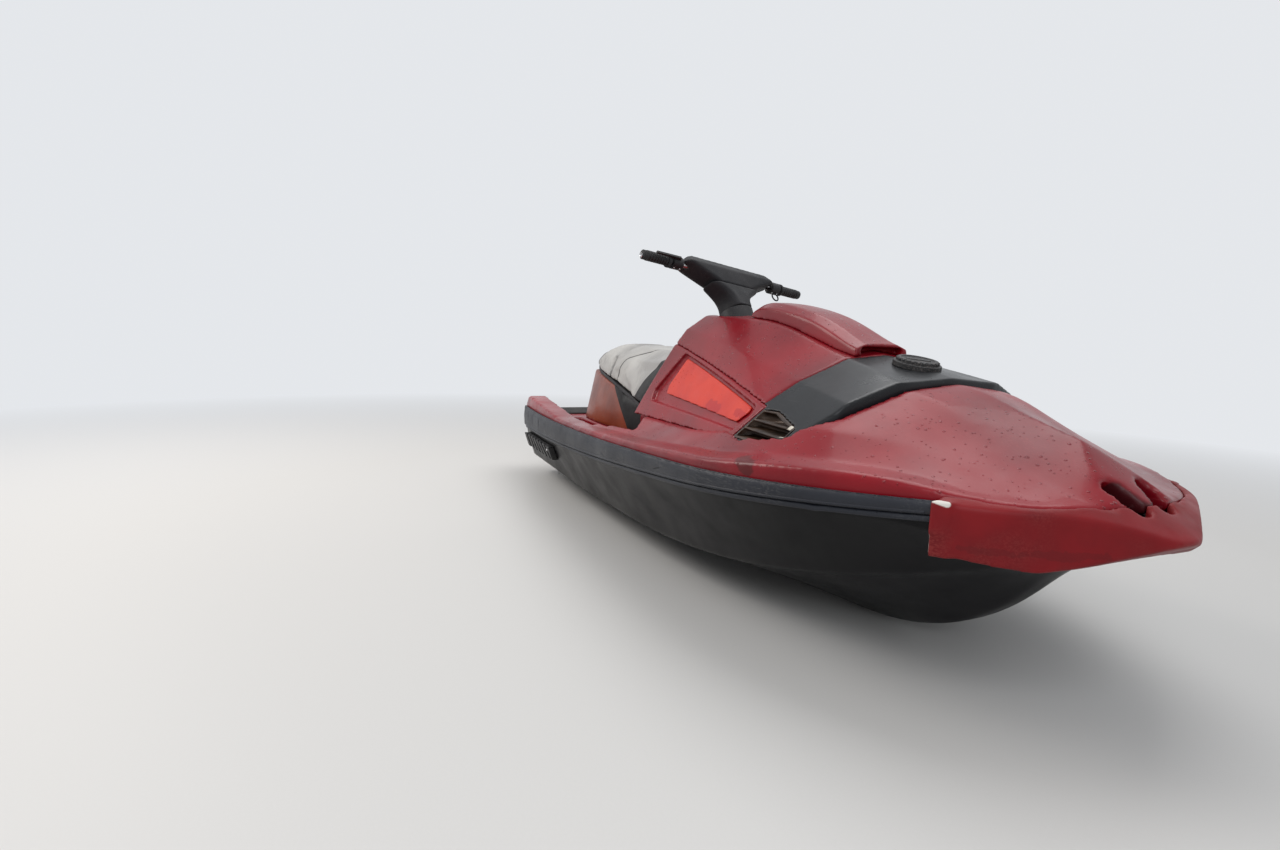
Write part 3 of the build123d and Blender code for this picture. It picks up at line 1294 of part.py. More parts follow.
def make_bucket():
    """The reverse bucket: two arms and a curved gate, stowed above the nozzle."""
    pivot = (x_of(BUCKET_PIVOT_STATION), 0, PUMP_Z)
    outer = BUCKET_INNER_RADIUS + BUCKET_THICKNESS
    shell = Cylinder(outer, 2 * BUCKET_HALF, rotation=(90, 0, 0)) - Cylinder(
        BUCKET_INNER_RADIUS, 2 * BUCKET_HALF, rotation=(90, 0, 0)
    )
    first = radians(BUCKET_START_ANGLE)
    last = radians(BUCKET_START_ANGLE + BUCKET_SPAN_ANGLE)
    reach = 2 * outer
    wedge_points = [
        (0, 0),
        (reach * cos(first), reach * sin(first)),
        (reach * cos((first + last) / 2), reach * sin((first + last) / 2)),
        (reach * cos(last), reach * sin(last)),
    ]
    wire = Wire.make_polygon([(x, -BUCKET_HALF, z) for x, z in wedge_points], close=True)
    wedge = Solid.extrude(Face(wire), Vector(0, 2 * BUCKET_HALF, 0))
    shell &= wedge
    arms = wedge & Cylinder(outer, 2 * BUCKET_HALF, rotation=(90, 0, 0))
    arms += Cylinder(BUCKET_ARM_WIDTH / 2, 2 * BUCKET_HALF, rotation=(90, 0, 0))
    arms -= Box(4 * outer, 2 * (BUCKET_HALF - BUCKET_THICKNESS), 4 * outer)
    bucket = shell + arms
    bucket -= Cylinder(BUCKET_PIN_RADIUS + SHAFT_FIT, 4 * BUCKET_HALF, rotation=(90, 0, 0))
    return one_solid(Pos(*pivot) * bucket)


def make_impeller():
    """A three-bladed impeller on its drive shaft."""
    last = IMPELLER_START + IMPELLER_LENGTH
    body = axial(IMPELLER_HUB_RADIUS, IMPELLER_START, last)
    body += axial(SHAFT_RADIUS, HOUSING_AFT + 6, SHAFT_END)
    tip = HOUSING_RADIUS - HOUSING_WALL - IMPELLER_CLEARANCE
    for index in range(IMPELLER_BLADES):
        rings = []
        for share in (0.0, 0.5, 1.0):
            angle = 360 / IMPELLER_BLADES * index + BLADE_TWIST * share
            plane = Plane((x_of(IMPELLER_START + 4 + (IMPELLER_LENGTH - 8) * share), 0, PUMP_Z), z_dir=(1, 0, 0))
            blade = Rectangle(BLADE_THICKNESS, tip - IMPELLER_HUB_RADIUS + 8)
            centre = (tip + IMPELLER_HUB_RADIUS - 8) / 2
            rings.append(plane * Rot(0, 0, angle) * Pos(0, centre) * blade)
        body += loft(rings)
    body &= axial(tip, HOUSING_AFT, SHAFT_END)
    return one_solid(body)


def make_grate():
    """The intake grate: a frame and bars along the flow."""
    low = 4.0
    high = low + GRATE_BAR_HEIGHT
    first = INTAKE_START
    last = INTAKE_START + INTAKE_LENGTH
    frame = span_block(first, last, -INTAKE_HALF, INTAKE_HALF, low, high)
    frame -= span_block(
        first + GRATE_FRAME, last - GRATE_FRAME, -INTAKE_HALF + GRATE_FRAME, INTAKE_HALF - GRATE_FRAME, 0, 100
    )
    clear = 2 * (INTAKE_HALF - GRATE_FRAME)
    pitch = clear / (GRATE_BARS + 1)
    for index in range(GRATE_BARS):
        y = -clear / 2 + pitch * (index + 1)
        frame += span_block(first, last, y - GRATE_BAR_WIDTH / 2, y + GRATE_BAR_WIDTH / 2, low, high)
    return one_solid(frame)


def make_tow_bars():
    """The steel bar across each tow recess."""
    bars = []
    for side in (-1, 1):
        bar = Cylinder(TOW_BAR_RADIUS, TOW_HOLE_WIDTH, rotation=(90, 0, 0))
        bars.append(tow_plane(side) * Pos(TOW_HOLE_LENGTH / 8, 0, -TOW_BAR_DEPTH) * bar)
    return bars


def make_stern_eyes():
    """The two tie-down lugs on the transom, each with a round hole."""
    eyes = []
    for side in (-1, 1):
        x = x_of(TRANSOM_STATION)
        plate = Pos(x - EYE_PLATE / 2, side * EYE_HALF, EYE_Z) * Box(EYE_PLATE, EYE_FOOT_WIDTH, EYE_FOOT_HEIGHT)
        lug = Pos(x - EYE_REACH / 2, side * EYE_HALF, EYE_Z) * Box(EYE_REACH, EYE_THICKNESS, 2 * EYE_RADIUS)
        lug += Pos(x - EYE_REACH, side * EYE_HALF, EYE_Z) * Cylinder(EYE_RADIUS, EYE_THICKNESS, rotation=(90, 0, 0))
        hole = Pos(x - EYE_REACH, side * EYE_HALF, EYE_Z) * Cylinder(
            EYE_HOLE_RADIUS, 2 * EYE_THICKNESS, rotation=(90, 0, 0)
        )
        eyes.append(one_solid(plate + lug - hole))
    return eyes


def make_drains():
    """The two drain plugs in the transom."""
    plugs = []
    for side in (-1, 1):
        plug = Cylinder(DRAIN_RADIUS, DRAIN_HEIGHT, rotation=(0, 90, 0))
        plugs.append(Pos(x_of(TRANSOM_STATION) - DRAIN_HEIGHT / 2, side * DRAIN_HALF, DRAIN_Z) * plug)
    return plugs


def build_parts():
    parts = {}
    hull = make_hull()
    rail = make_rail()
    parts["hull"] = hull
    parts.update(make_deck_parts())
    parts["rub_rail_starboard"] = rail
    parts["rub_rail_port"] = mirrored(rail)
    parts["bow_bumper"] = make_bumper()
    parts.update(make_console_parts())
    parts.update(make_steering())
    parts.update(make_seat())
    parts["engine"] = make_engine()
    parts.update(make_mats())
    parts["grab_handle"] = make_grab_handle()
    sponson = make_sponson(hull)
    parts["sponson_starboard"] = sponson
    parts["sponson_port"] = mirrored(sponson)
    parts["ride_plate"] = make_ride_plate()
    parts["intake_grate"] = make_grate()
    parts["pump_housing"] = make_pump()
    parts["impeller"] = make_impeller()
    parts["steering_nozzle"] = make_nozzle()
    parts["reverse_bucket"] = make_bucket()
    parts["tow_bars"] = Compound(make_tow_bars())
    parts["stern_eyes"] = Compound(make_stern_eyes())
    parts["drain_plugs"] = Compound(make_drains())
    return parts


def main():
    os.makedirs("parts", exist_ok=True)
    for node, shape in build_parts().items():
        export_step(shape, f"parts/{node}.step")


if __name__ == "__main__":
    main()
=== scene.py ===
"""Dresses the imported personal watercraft: mouldings, seat, helm, jet unit, studio and camera."""

import json
import logging
import math
from dataclasses import dataclass
from enum import Enum
from typing import Any, Sequence

import bmesh
import bpy
from mathutils import Matrix, Vector
from mathutils.bvhtree import BVHTree

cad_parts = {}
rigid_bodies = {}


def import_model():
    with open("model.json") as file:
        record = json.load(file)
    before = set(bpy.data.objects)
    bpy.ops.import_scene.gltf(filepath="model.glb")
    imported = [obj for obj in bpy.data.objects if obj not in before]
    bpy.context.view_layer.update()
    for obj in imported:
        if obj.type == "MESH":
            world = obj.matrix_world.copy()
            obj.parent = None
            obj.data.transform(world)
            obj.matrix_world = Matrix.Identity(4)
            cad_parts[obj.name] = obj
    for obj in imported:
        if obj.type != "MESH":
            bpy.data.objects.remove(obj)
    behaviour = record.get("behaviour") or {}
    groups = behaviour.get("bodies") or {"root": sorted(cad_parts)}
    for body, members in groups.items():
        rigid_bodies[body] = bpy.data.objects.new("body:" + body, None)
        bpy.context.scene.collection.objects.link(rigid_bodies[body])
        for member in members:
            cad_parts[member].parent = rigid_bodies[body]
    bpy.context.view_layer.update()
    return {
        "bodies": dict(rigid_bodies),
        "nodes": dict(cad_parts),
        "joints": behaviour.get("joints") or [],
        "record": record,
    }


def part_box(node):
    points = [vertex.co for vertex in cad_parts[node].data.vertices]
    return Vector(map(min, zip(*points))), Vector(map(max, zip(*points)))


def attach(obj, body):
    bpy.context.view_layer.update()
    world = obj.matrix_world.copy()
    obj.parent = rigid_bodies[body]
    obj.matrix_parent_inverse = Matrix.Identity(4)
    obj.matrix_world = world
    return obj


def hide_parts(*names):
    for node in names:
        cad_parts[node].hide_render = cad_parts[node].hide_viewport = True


LOG = logging.getLogger("watercraft")
Colour = tuple[float, float, float, float]
Point = tuple[float, float, float]

AHEAD: Point = (1.0, 0.0, 0.0)
UP: Point = (0.0, 0.0, 1.0)
DOWN: Point = (0.0, 0.0, -1.0)
HALF_LENGTH = 1.56
MERGE = 2e-5
SHARP = math.radians(38)
WEAR_REACH = 1.6
SCRATCH_LINES = 260.0
SCRATCH_ROUGHENS = 0.15
DIRT_COVER = 0.55
DIRT_ROUGHNESS = 0.8
DROP_COUNT = 74.0
DROP_HEIGHT = 0.0022
DROP_TINT = 0.35
WET_ROUGHNESS = 0.04
COAT_ROUGHNESS = 0.09


def at(station: float, across: float, height: float) -> Point:
    """Returns the frame's point for a station from the stern, in metres."""
    return (station - HALF_LENGTH, across, height)


def rgb(red: int, green: int, blue: int) -> Colour:
    """Turns a screen colour into the linear one that a shader socket takes.

    Args:
        red: Red, 0 to 255.
        green: Green, 0 to 255.
        blue: Blue, 0 to 255.

    Returns:
        The linear colour with an alpha of 1.
    """
    parts = [value / 255 for value in (red, green, blue)]
    linear = [p / 12.92 if p <= 0.04045 else ((p + 0.055) / 1.055) ** 2.4 for p in parts]
    return (linear[0], linear[1], linear[2], 1.0)


class Side(Enum):
    """A side of the craft, as the sign of its Y."""

    PORT = 1
    STARBOARD = -1

    @property
    def word(self) -> str:
        """The side's name, as the node names end."""
        return self.name.lower()

    @property
    def inwards(self) -> Point:
        """The way from this side to the craft's middle."""
        return (0.0, -float(self.value), 0.0)


class Form(Enum):
    """How a carried-over node is shown."""

    KEPT = "the packed node itself"
    SMOOTH = "a merged copy, shaded smooth"
    SOFT = "a merged copy with moulded radii"


class Graph:
    """Adds and joins the nodes of one material or node group."""

    def __init__(self, tree: bpy.types.NodeTree) -> None:
        """Keeps the node tree that the nodes go into."""
        self.tree = tree

    def add(self, kind: str, inputs: dict[Any, Any] | None = None, **settings: Any) -> bpy.types.Node:
        """Adds a node.

        Args:
            kind: The node's type name.
            inputs: Values, or sockets to be joined, by input name or place.
            **settings: The node's own properties.

        Returns:
            The new node.
        """
        node = self.tree.nodes.new(kind)
        for name, value in settings.items():
            setattr(node, name, value)
        for key, value in (inputs or {}).items():
            if isinstance(value, bpy.types.NodeSocket):
                self.tree.links.new(value, node.inputs[key])
            else:
                node.inputs[key].default_value = value
        return node

    def math(self, operation: str, *values: Any, clamp: bool = False) -> bpy.types.NodeSocket:
        """Joins numbers by one operation and returns the result's socket."""
        links = dict(enumerate(values))
        return self.add("ShaderNodeMath", links, operation=operation, use_clamp=clamp).outputs[0]

    def vector(self, operation: str, *values: Any) -> bpy.types.NodeSocket:
        """Joins vectors by one operation and returns its vector or its number."""
        node = self.add("ShaderNodeVectorMath", dict(enumerate(values)), operation=operation)
        single = operation in {"DOT_PRODUCT", "LENGTH", "DISTANCE"}
        return node.outputs["Value" if single else "Vector"]

    def times(self, *values: Any, clamp: bool = False) -> bpy.types.NodeSocket:
        """Multiplies two numbers and returns the product's socket."""
        return self.math("MULTIPLY", *values, clamp=clamp)

    def join(self, value: bpy.types.NodeSocket, socket: bpy.types.NodeSocket) -> None:
        """Joins a value's socket to the one that takes it."""
        self.tree.links.new(value, socket)

    def span(
        self, value: Any, low: Any, high: Any, to_low: Any = 0.0, to_high: Any = 1.0
    ) -> bpy.types.NodeSocket:
        """Maps a value from one span to another, held at both ends.

        Args:
            value: The socket to be mapped.
            low: The value that becomes to_low.
            high: The value that becomes to_high.
            to_low: The result at low.
            to_high: The result at high.

        Returns:
            The result's socket.
        """
        inputs = {"Value": value, "From Min": low, "From Max": high, "To Min": to_low, "To Max": to_high}
        return self.add("ShaderNodeMapRange", inputs).outputs["Result"]

    def mix(self, factor: Any, first: Any, second: Any) -> bpy.types.NodeSocket:
        """Mixes two colours by a factor and returns the colour's socket."""
        return self.add("ShaderNodeMix", {0: factor, 6: first, 7: second}, data_type="RGBA").outputs[2]

    def place(self) -> bpy.types.NodeSocket:
        """Returns the socket with the point's place in the piece."""
        return self.add("ShaderNodeTexCoord").outputs["Object"]

    def noise(
        self, scale: Any, detail: float = 2.0, vector: Any = None, rough: float = 0.5
    ) -> bpy.types.NodeSocket:
        """Returns the socket of a noise of the given scale.

        Args:
            scale: Waves in a metre, about.
            detail: How many finer layers it has.
            vector: The coordinates, or the piece's own.
            rough: The share that the finer layers keep.

        Returns:
            The noise's value socket.
        """
        inputs = {"Vector": vector or self.place(), "Scale": scale, "Detail": detail, "Roughness": rough}
        return self.add("ShaderNodeTexNoise", inputs).outputs["Fac"]


def blank(holder: bpy.types.Material | bpy.types.World) -> Graph:
    """Returns the graph of a new material or world, emptied of its nodes."""
    holder.use_nodes = True
    holder.node_tree.nodes.clear()
    return Graph(holder.node_tree)


class Effects:
    """The node groups that the finishes share, each built once."""

    def __init__(self) -> None:
        """Starts with no group built."""
        self.built: dict[str, bpy.types.NodeTree] = {}

    def open_group(
        self,
        name: str,
        inputs: Sequence[str],
        outputs: Sequence[str] = ("Mask",),
        vectors: Sequence[str] = (),
    ) -> tuple[Graph, Any, Any]:
        """Starts a node group.

        Args:
            name: The group's name.
            inputs: The inputs' names.
            outputs: The outputs' names.
            vectors: The names of those that are vectors, where the rest are numbers.

        Returns:
            The group's graph, its input node's outputs and its output node's inputs.
        """
        tree = bpy.data.node_groups.new(name, "ShaderNodeTree")
        for way, sockets in (("INPUT", inputs), ("OUTPUT", outputs)):
            for socket in sockets:
                kind = "NodeSocketVector" if socket in vectors else "NodeSocketFloat"
                tree.interface.new_socket(name=socket, in_out=way, socket_type=kind)
        self.built[name] = tree
        graph = Graph(tree)
        return graph, graph.add("NodeGroupInput").outputs, graph.add("NodeGroupOutput").inputs

    def use(self, graph: Graph, name: str, **inputs: Any) -> bpy.types.NodeOutputs:
        """Places a group in a material.

        Args:
            graph: The material's graph.
            name: The group's name, which is also the name of the method that builds it.
            **inputs: Values or sockets, with an input's spaces written as underscores.

        Returns:
            The group node's outputs.
        """
        if name not in self.built:
            getattr(self, name)()
        links = {key.replace("_", " ").title(): value for key, value in inputs.items()}
        return graph.add("ShaderNodeGroup", links, node_tree=self.built[name]).outputs

    def edge_wear(self) -> None:
        """Builds the mask of rubbed edges, broken up by a fine noise."""
        graph, given, result = self.open_group("edge_wear", ("Radius", "Cover"))
        bevel = graph.add("ShaderNodeBevel", {"Radius": given["Radius"]}, samples=4)
        true = graph.add("ShaderNodeNewGeometry").outputs["Normal"]
        turn = graph.vector("DOT_PRODUCT", bevel.outputs["Normal"], true)
        edge = graph.span(turn, 0.99, 0.82)
        chips = graph.span(graph.noise(70.0, 5.0), graph.math("SUBTRACT", 1.0, given["Cover"]), 1.0)
        worn = graph.times(edge, graph.times(chips, 2.2), clamp=True)
        graph.join(worn, result["Mask"])

    def scratches(self) -> None:
        """Builds the mask of long fine scratches along X."""
        graph, given, result = self.open_group("scratches", ("Fineness", "Cover"))
        stretched = graph.vector("MULTIPLY", graph.place(), (0.045, 1.0, 1.0))
        lines = graph.noise(given["Fineness"], 4.0, stretched, 0.7)
        fields = graph.span(graph.noise(5.0, 2.0), 0.45, 0.62)
        bare = graph.math("SUBTRACT", 1.0, graph.times(given["Cover"], 0.5))
        cut = graph.span(lines, graph.times(bare, 0.72), bare)
        graph.join(graph.times(cut, fields, clamp=True), result["Mask"])

    def droplets(self) -> None:
        """Builds drops of water that stand on faces that look up."""
        graph, given, result = self.open_group("droplets", ("Count", "Cover"), ("Mask", "Height"))
        cells = graph.add("ShaderNodeTexVoronoi", {"Vector": graph.place(), "Scale": given["Count"]})
        chance = graph.add("ShaderNodeSeparateColor", {0: cells.outputs["Color"]}).outputs
        size = graph.times(graph.span(chance[0], 0.25, 1.0, 0.05, 0.34), given["Cover"])
        dome = graph.math("SUBTRACT", 1.0, graph.math("DIVIDE", cells.outputs["Distance"], size), clamp=True)
        patch = graph.span(graph.noise(3.1, 2.0), 0.42, 0.58)
        normal = graph.add("ShaderNodeNewGeometry").outputs["Normal"]
        up = graph.span(graph.vector("DOT_PRODUCT", normal, (0.0, 0.0, 1.0)), 0.15, 0.45)
        here = graph.times(dome, graph.times(patch, up))
        graph.join(graph.span(here, 0.02, 0.2), result["Mask"])
        graph.join(graph.math("POWER", here, 0.5), result["Height"])

    def grain(self) -> None:
        """Builds the relief of a moulded or sewn surface, pebbled by cells."""
        graph, given, result = self.open_group("grain", ("Fineness", "Pebble"), ("Height",))
        cells = graph.add("ShaderNodeTexVoronoi", {"Vector": graph.place(), "Scale": given["Fineness"]})
        pebble = graph.times(cells.outputs["Distance"], given["Pebble"])
        fine = graph.noise(graph.times(given["Fineness"], 1.7), 3.0)
        graph.join(graph.math("ADD", pebble, fine), result["Height"])

    def grime(self) -> None:
        """Builds the mask of dried salt and sand, thicker towards the ground."""
        graph, given, result = self.open_group("grime", ("Low", "High", "Cover"))
        height = graph.add("ShaderNodeSeparateXYZ", {0: graph.place()}).outputs["Z"]
        low = graph.span(height, given["Low"], given["High"], 1.0, 0.25)
        blots = graph.times(graph.noise(7.0, 6.0, rough=0.65), low)
        start = graph.math("SUBTRACT", 0.75, given["Cover"])
        graph.join(graph.span(blots, start, graph.math("ADD", start, 0.22)), result["Mask"])

    def stroke(self) -> None:
        """Builds the mask of one mark drawn from a point to another."""
        ends = ("Start", "End")
        graph, given, result = self.open_group("stroke", (*ends, "Width", "Ragged"), vectors=ends)
        place = graph.place()
        along = graph.vector("SUBTRACT", given["End"], given["Start"])
        out = graph.vector("SUBTRACT", place, given["Start"])
        passed = graph.vector("DOT_PRODUCT", out, along)
        whole = graph.vector("DOT_PRODUCT", along, along)
        share = graph.math("DIVIDE", passed, whole, clamp=True)
        scaled = graph.add("ShaderNodeVectorMath", {0: along, "Scale": share}, operation="SCALE")
        distance = graph.vector("DISTANCE", out, scaled.outputs["Vector"])
        waver = graph.math("SUBTRACT", graph.noise(38.0, 4.0, rough=0.7), 0.5)
        shake = graph.times(waver, given["Ragged"])
        drawn = graph.math("ADD", distance, shake)
        inner = graph.times(given["Width"], 0.75)
        graph.join(graph.span(drawn, given["Width"], inner), result["Mask"])


@dataclass(frozen=True)
class Mark:
    """One worn line, chip, drip or damp patch, or a painted shade or highlight, at its own place on the
    craft.
    """

    start: Point
    end: Point
    width: float
    colour: Colour
    strength: float = 1.0
    ragged: float = 0.01
    roughness: float = 0.5


@dataclass(frozen=True)
class Finish:
    """A surface finish: two tones, wear, grime, relief and the marks that it carries."""

    name: str
    colour: Colour
    tone: Colour
    tone_scale: float = 2.6
    roughness: tuple[float, float] = (0.25, 0.4)
    metallic: float = 0.0
    coat: float = 0.0
    specular: float = 0.35
    radius: float = 0.003
    wear: float = 0.45
    wear_colour: Colour = rgb(150, 140, 132)
    wear_strength: float = 0.5
    fineness: float = 900.0
    pebble: float = 0.0
    relief: float = 0.00008
    scratch: float = 0.5
    scratch_colour: Colour = rgb(150, 140, 135)
    scratch_strength: float = 0.3
    grime: float = 0.2
    grime_colour: Colour = rgb(112, 98, 80)
    grime_low: float = 0.0
    grime_high: float = 0.5
    drops: float = 0.0
    marks: tuple[Mark, ...] = ()

    def dress(self, effects: Effects) -> bpy.types.Material:
        """Builds the finish's material.

        Args:
            effects: The shared node groups.

        Returns:
            The material, with every node of it procedural.
        """
        material = bpy.data.materials.new(self.name)
        graph = blank(material)
        tone = graph.span(graph.noise(self.tone_scale, 4.0), 0.38, 0.66)
        colour = graph.mix(tone, self.colour, self.tone)
        rough = graph.span(graph.noise(self.tone_scale * 3.0, 5.0), 0.3, 0.7, *self.roughness)
        wear = effects.use(graph, "edge_wear", radius=self.radius * WEAR_REACH, cover=self.wear)["Mask"]
        wear = graph.times(wear, self.wear_strength)
        colour = graph.mix(wear, colour, self.wear_colour)
        lines = effects.use(graph, "scratches", fineness=SCRATCH_LINES, cover=self.scratch)["Mask"]
        colour = graph.mix(graph.times(lines, self.scratch_strength), colour, self.scratch_colour)
        rough = graph.math("ADD", rough, graph.times(lines, SCRATCH_ROUGHENS))
        dirt = effects.use(graph, "grime", low=self.grime_low, high=self.grime_high, cover=self.grime)["Mask"]
        colour = graph.mix(graph.times(dirt, DIRT_COVER), colour, self.grime_colour)
        rough = graph.span(dirt, 0.0, 1.0, rough, DIRT_ROUGHNESS)
        for mark in self.marks:
            line = {"start": mark.start, "end": mark.end, "width": mark.width, "ragged": mark.ragged}
            drawn = graph.times(effects.use(graph, "stroke", **line)["Mask"], mark.strength)
            colour = graph.mix(drawn, colour, mark.colour)
            rough = graph.span(drawn, 0.0, 1.0, rough, mark.roughness)
        height = effects.use(graph, "grain", fineness=self.fineness, pebble=self.pebble)["Height"]
        rounded = graph.add("ShaderNodeBevel", {"Radius": self.radius}, samples=4).outputs["Normal"]
        bump = {"Strength": 1.0, "Distance": self.relief, "Height": height, "Normal": rounded}
        normal = graph.add("ShaderNodeBump", bump).outputs["Normal"]
        if self.drops:
            drop = effects.use(graph, "droplets", count=DROP_COUNT, cover=self.drops)
            bump = {"Strength": 1.0, "Distance": DROP_HEIGHT, "Height": drop["Height"], "Normal": normal}
            normal = graph.add("ShaderNodeBump", bump).outputs["Normal"]
            rough = graph.span(drop["Mask"], 0.0, 1.0, rough, WET_ROUGHNESS)
            colour = graph.mix(graph.times(drop["Mask"], DROP_TINT), colour, self.tone)
        shader = {"Base Color": colour, "Roughness": rough, "Normal": normal, "Metallic": self.metallic}
        shader |= {"Specular IOR Level": self.specular}
        shader |= {"Coat Weight": self.coat, "Coat Roughness": COAT_ROUGHNESS}
        principled = graph.add("ShaderNodeBsdfPrincipled", shader)
        graph.add("ShaderNodeOutputMaterial", {"Surface": principled.outputs["BSDF"]})
        return material


CHALK = rgb(226, 222, 214)

RED_GELCOAT = Finish(
    "red_gelcoat", colour=rgb(136, 8, 24), tone=rgb(106, 6, 20), roughness=(0.26, 0.42), coat=0.12,
    specular=0.24, radius=0.004, wear_colour=rgb(190, 90, 86), wear_strength=0.35, fineness=420.0,
    relief=0.00006, scratch_colour=rgb(196, 92, 96), scratch_strength=0.22, grime=0.12, drops=1.0,
    marks=(
        Mark(at(2.372, -0.546, 0.495), at(2.414, -0.562, 0.484), 0.026, rgb(82, 3, 8), 0.9, 0.03, 0.3),
        # Painted shade: the next two marks darken the insides of the two tow-hole recesses.
        Mark(at(2.975, -0.030, 0.515), at(3.030, -0.012, 0.480), 0.026, rgb(44, 3, 8), 0.85, 0.01, 0.6),
        Mark(at(2.975, 0.030, 0.515), at(3.030, 0.012, 0.480), 0.026, rgb(44, 3, 8), 0.85, 0.01, 0.6),
        Mark(at(1.47, -0.075, 0.876), at(1.61, -0.148, 0.824), 0.008, rgb(110, 8, 12), 0.75, 0.008, 0.2),
        Mark(at(1.629, -0.178, 0.796), at(1.649, -0.228, 0.731), 0.0016, rgb(60, 8, 12), 0.7, 0.003, 0.5),
    ),
)
BUMPER_FINISH = Finish(
    "bumper_rubber", colour=rgb(128, 12, 20), tone=rgb(92, 9, 16), tone_scale=5.0,
    roughness=(0.36, 0.55), specular=0.24, radius=0.004, wear_colour=rgb(190, 96, 84), fineness=600.0,
    relief=0.0002, scratch=0.8, scratch_colour=rgb(160, 70, 64), scratch_strength=0.45, grime=0.1,
    marks=(
        Mark(at(2.856, -0.405, 0.497), at(2.877, -0.393, 0.492), 0.010, CHALK, 0.95, 0.006, 0.7),
        Mark(at(2.849, -0.405, 0.385), at(2.849, -0.405, 0.49), 0.0035, CHALK, 0.7, 0.003, 0.7),
        Mark(at(2.90, -0.38, 0.40), at(3.06, -0.15, 0.41), 0.008, rgb(84, 16, 20), 0.35, 0.04, 0.6),
    ),
)
ORANGE_INSERT = Finish(
    "orange_insert", colour=rgb(206, 48, 22), tone=rgb(186, 30, 17), tone_scale=6.0,
    roughness=(0.3, 0.45), coat=0.12, specular=0.22, wear_strength=0.2, fineness=500.0, relief=0.00006,
    scratch_colour=rgb(240, 150, 120), scratch_strength=0.2, grime=0.08, drops=0.8,
    marks=(
        Mark(at(1.82, -0.331, 0.573), at(1.90, -0.344, 0.568), 0.022, rgb(172, 6, 16), 0.8, 0.04, 0.35),
        Mark(at(2.03, -0.358, 0.572), at(2.09, -0.367, 0.568), 0.014, rgb(172, 6, 16), 0.75, 0.03, 0.35),
    ),
)
BLACK_BAND = Finish(
    "black_band_gelcoat", colour=rgb(25, 27, 30), tone=rgb(17, 19, 22), roughness=(0.26, 0.42),
    coat=0.1, specular=0.22, radius=0.004, wear_strength=0.3, fineness=420.0,
    scratch_colour=rgb(116, 116, 116), scratch_strength=0.22, grime=0.12, drops=0.7,
)
BLACK_HULL = Finish(
    "black_hull_gelcoat", colour=rgb(10, 10, 12), tone=rgb(17, 16, 19), roughness=(0.28, 0.44),
    specular=0.16, radius=0.004, wear_strength=0.4, wear_colour=rgb(96, 94, 92), fineness=420.0,
    scratch_colour=rgb(70, 68, 67), scratch_strength=0.22, grime_high=0.32,
)
RAIL_RUBBER = Finish(
    "rail_rubber", colour=rgb(40, 42, 49), tone=rgb(29, 31, 38), roughness=(0.36, 0.52), specular=0.28,
    wear_colour=rgb(118, 114, 110), wear_strength=0.35, fineness=700.0, relief=0.00022, scratch=0.6,
    scratch_colour=rgb(120, 118, 116), scratch_strength=0.35, grime_low=0.2, grime_high=0.6, drops=0.5,
    marks=(
        Mark(at(1.985, -0.609, 0.398), at(2.085, -0.606, 0.425), 0.0022, rgb(20, 20, 22), 0.8, 0.004, 0.7),
    ),
)
DUCT_GOLD = Finish(
    "duct_brown", colour=rgb(62, 42, 26), tone=rgb(32, 22, 16), tone_scale=9.0, roughness=(0.26, 0.42),
    metallic=0.35, radius=0.002, wear_colour=rgb(190, 172, 146), wear_strength=0.55, grime=0.1,
    marks=(
        # Partly worn rim and partly painted highlight: a pale shine drawn along the duct's right rim.
        Mark(at(2.352, -0.425, 0.535), at(2.372, -0.405, 0.572), 0.009, rgb(228, 220, 204), 0.9, 0.012, 0.25),
    ),
)
BLACK_PLASTIC = Finish(
    "black_plastic", colour=rgb(25, 25, 27), tone=rgb(35, 34, 35), tone_scale=8.0,
    roughness=(0.42, 0.6), radius=0.0015, wear_colour=rgb(112, 108, 104), wear_strength=0.4,
    fineness=1100.0, pebble=0.5, relief=0.00016, grime=0.16,
)
WORN_CAP = Finish(
    "worn_cap_plastic", colour=rgb(24, 25, 27), tone=rgb(38, 38, 39), tone_scale=24.0,
    roughness=(0.4, 0.6), specular=0.3, radius=0.0014, wear=0.6, wear_colour=rgb(120, 118, 114),
    pebble=0.8, relief=0.00025, scratch=0.7, grime=0.08, drops=0.8,
)
PAD_RUBBER = Finish(
    "pad_rubber", colour=rgb(27, 27, 30), tone=rgb(37, 36, 38), tone_scale=7.0, roughness=(0.5, 0.66),
    specular=0.25, radius=0.004, wear_colour=rgb(104, 102, 100), wear_strength=0.25, fineness=640.0,
    pebble=1.0, relief=0.0003, scratch_strength=0.15, grime=0.14,
)
GRIP_RUBBER = Finish(
    "grip_rubber", colour=rgb(27, 27, 29), tone=rgb(38, 38, 39), tone_scale=14.0,
    roughness=(0.55, 0.72), radius=0.0012, wear_colour=rgb(92, 88, 84), wear_strength=0.35,
    fineness=1300.0, pebble=1.2, relief=0.0003, grime=0.12,
)
SEAT_VINYL = Finish(
    "seat_vinyl", colour=rgb(178, 176, 172), tone=rgb(150, 148, 146), tone_scale=4.0,
    roughness=(0.36, 0.5), wear_colour=rgb(205, 202, 196), wear_strength=0.2, fineness=520.0,
    pebble=1.3, relief=0.00035, scratch_colour=rgb(120, 116, 112), scratch_strength=0.15, grime=0.14,
    grime_low=0.45, grime_high=0.75, grime_colour=rgb(120, 106, 88),
)
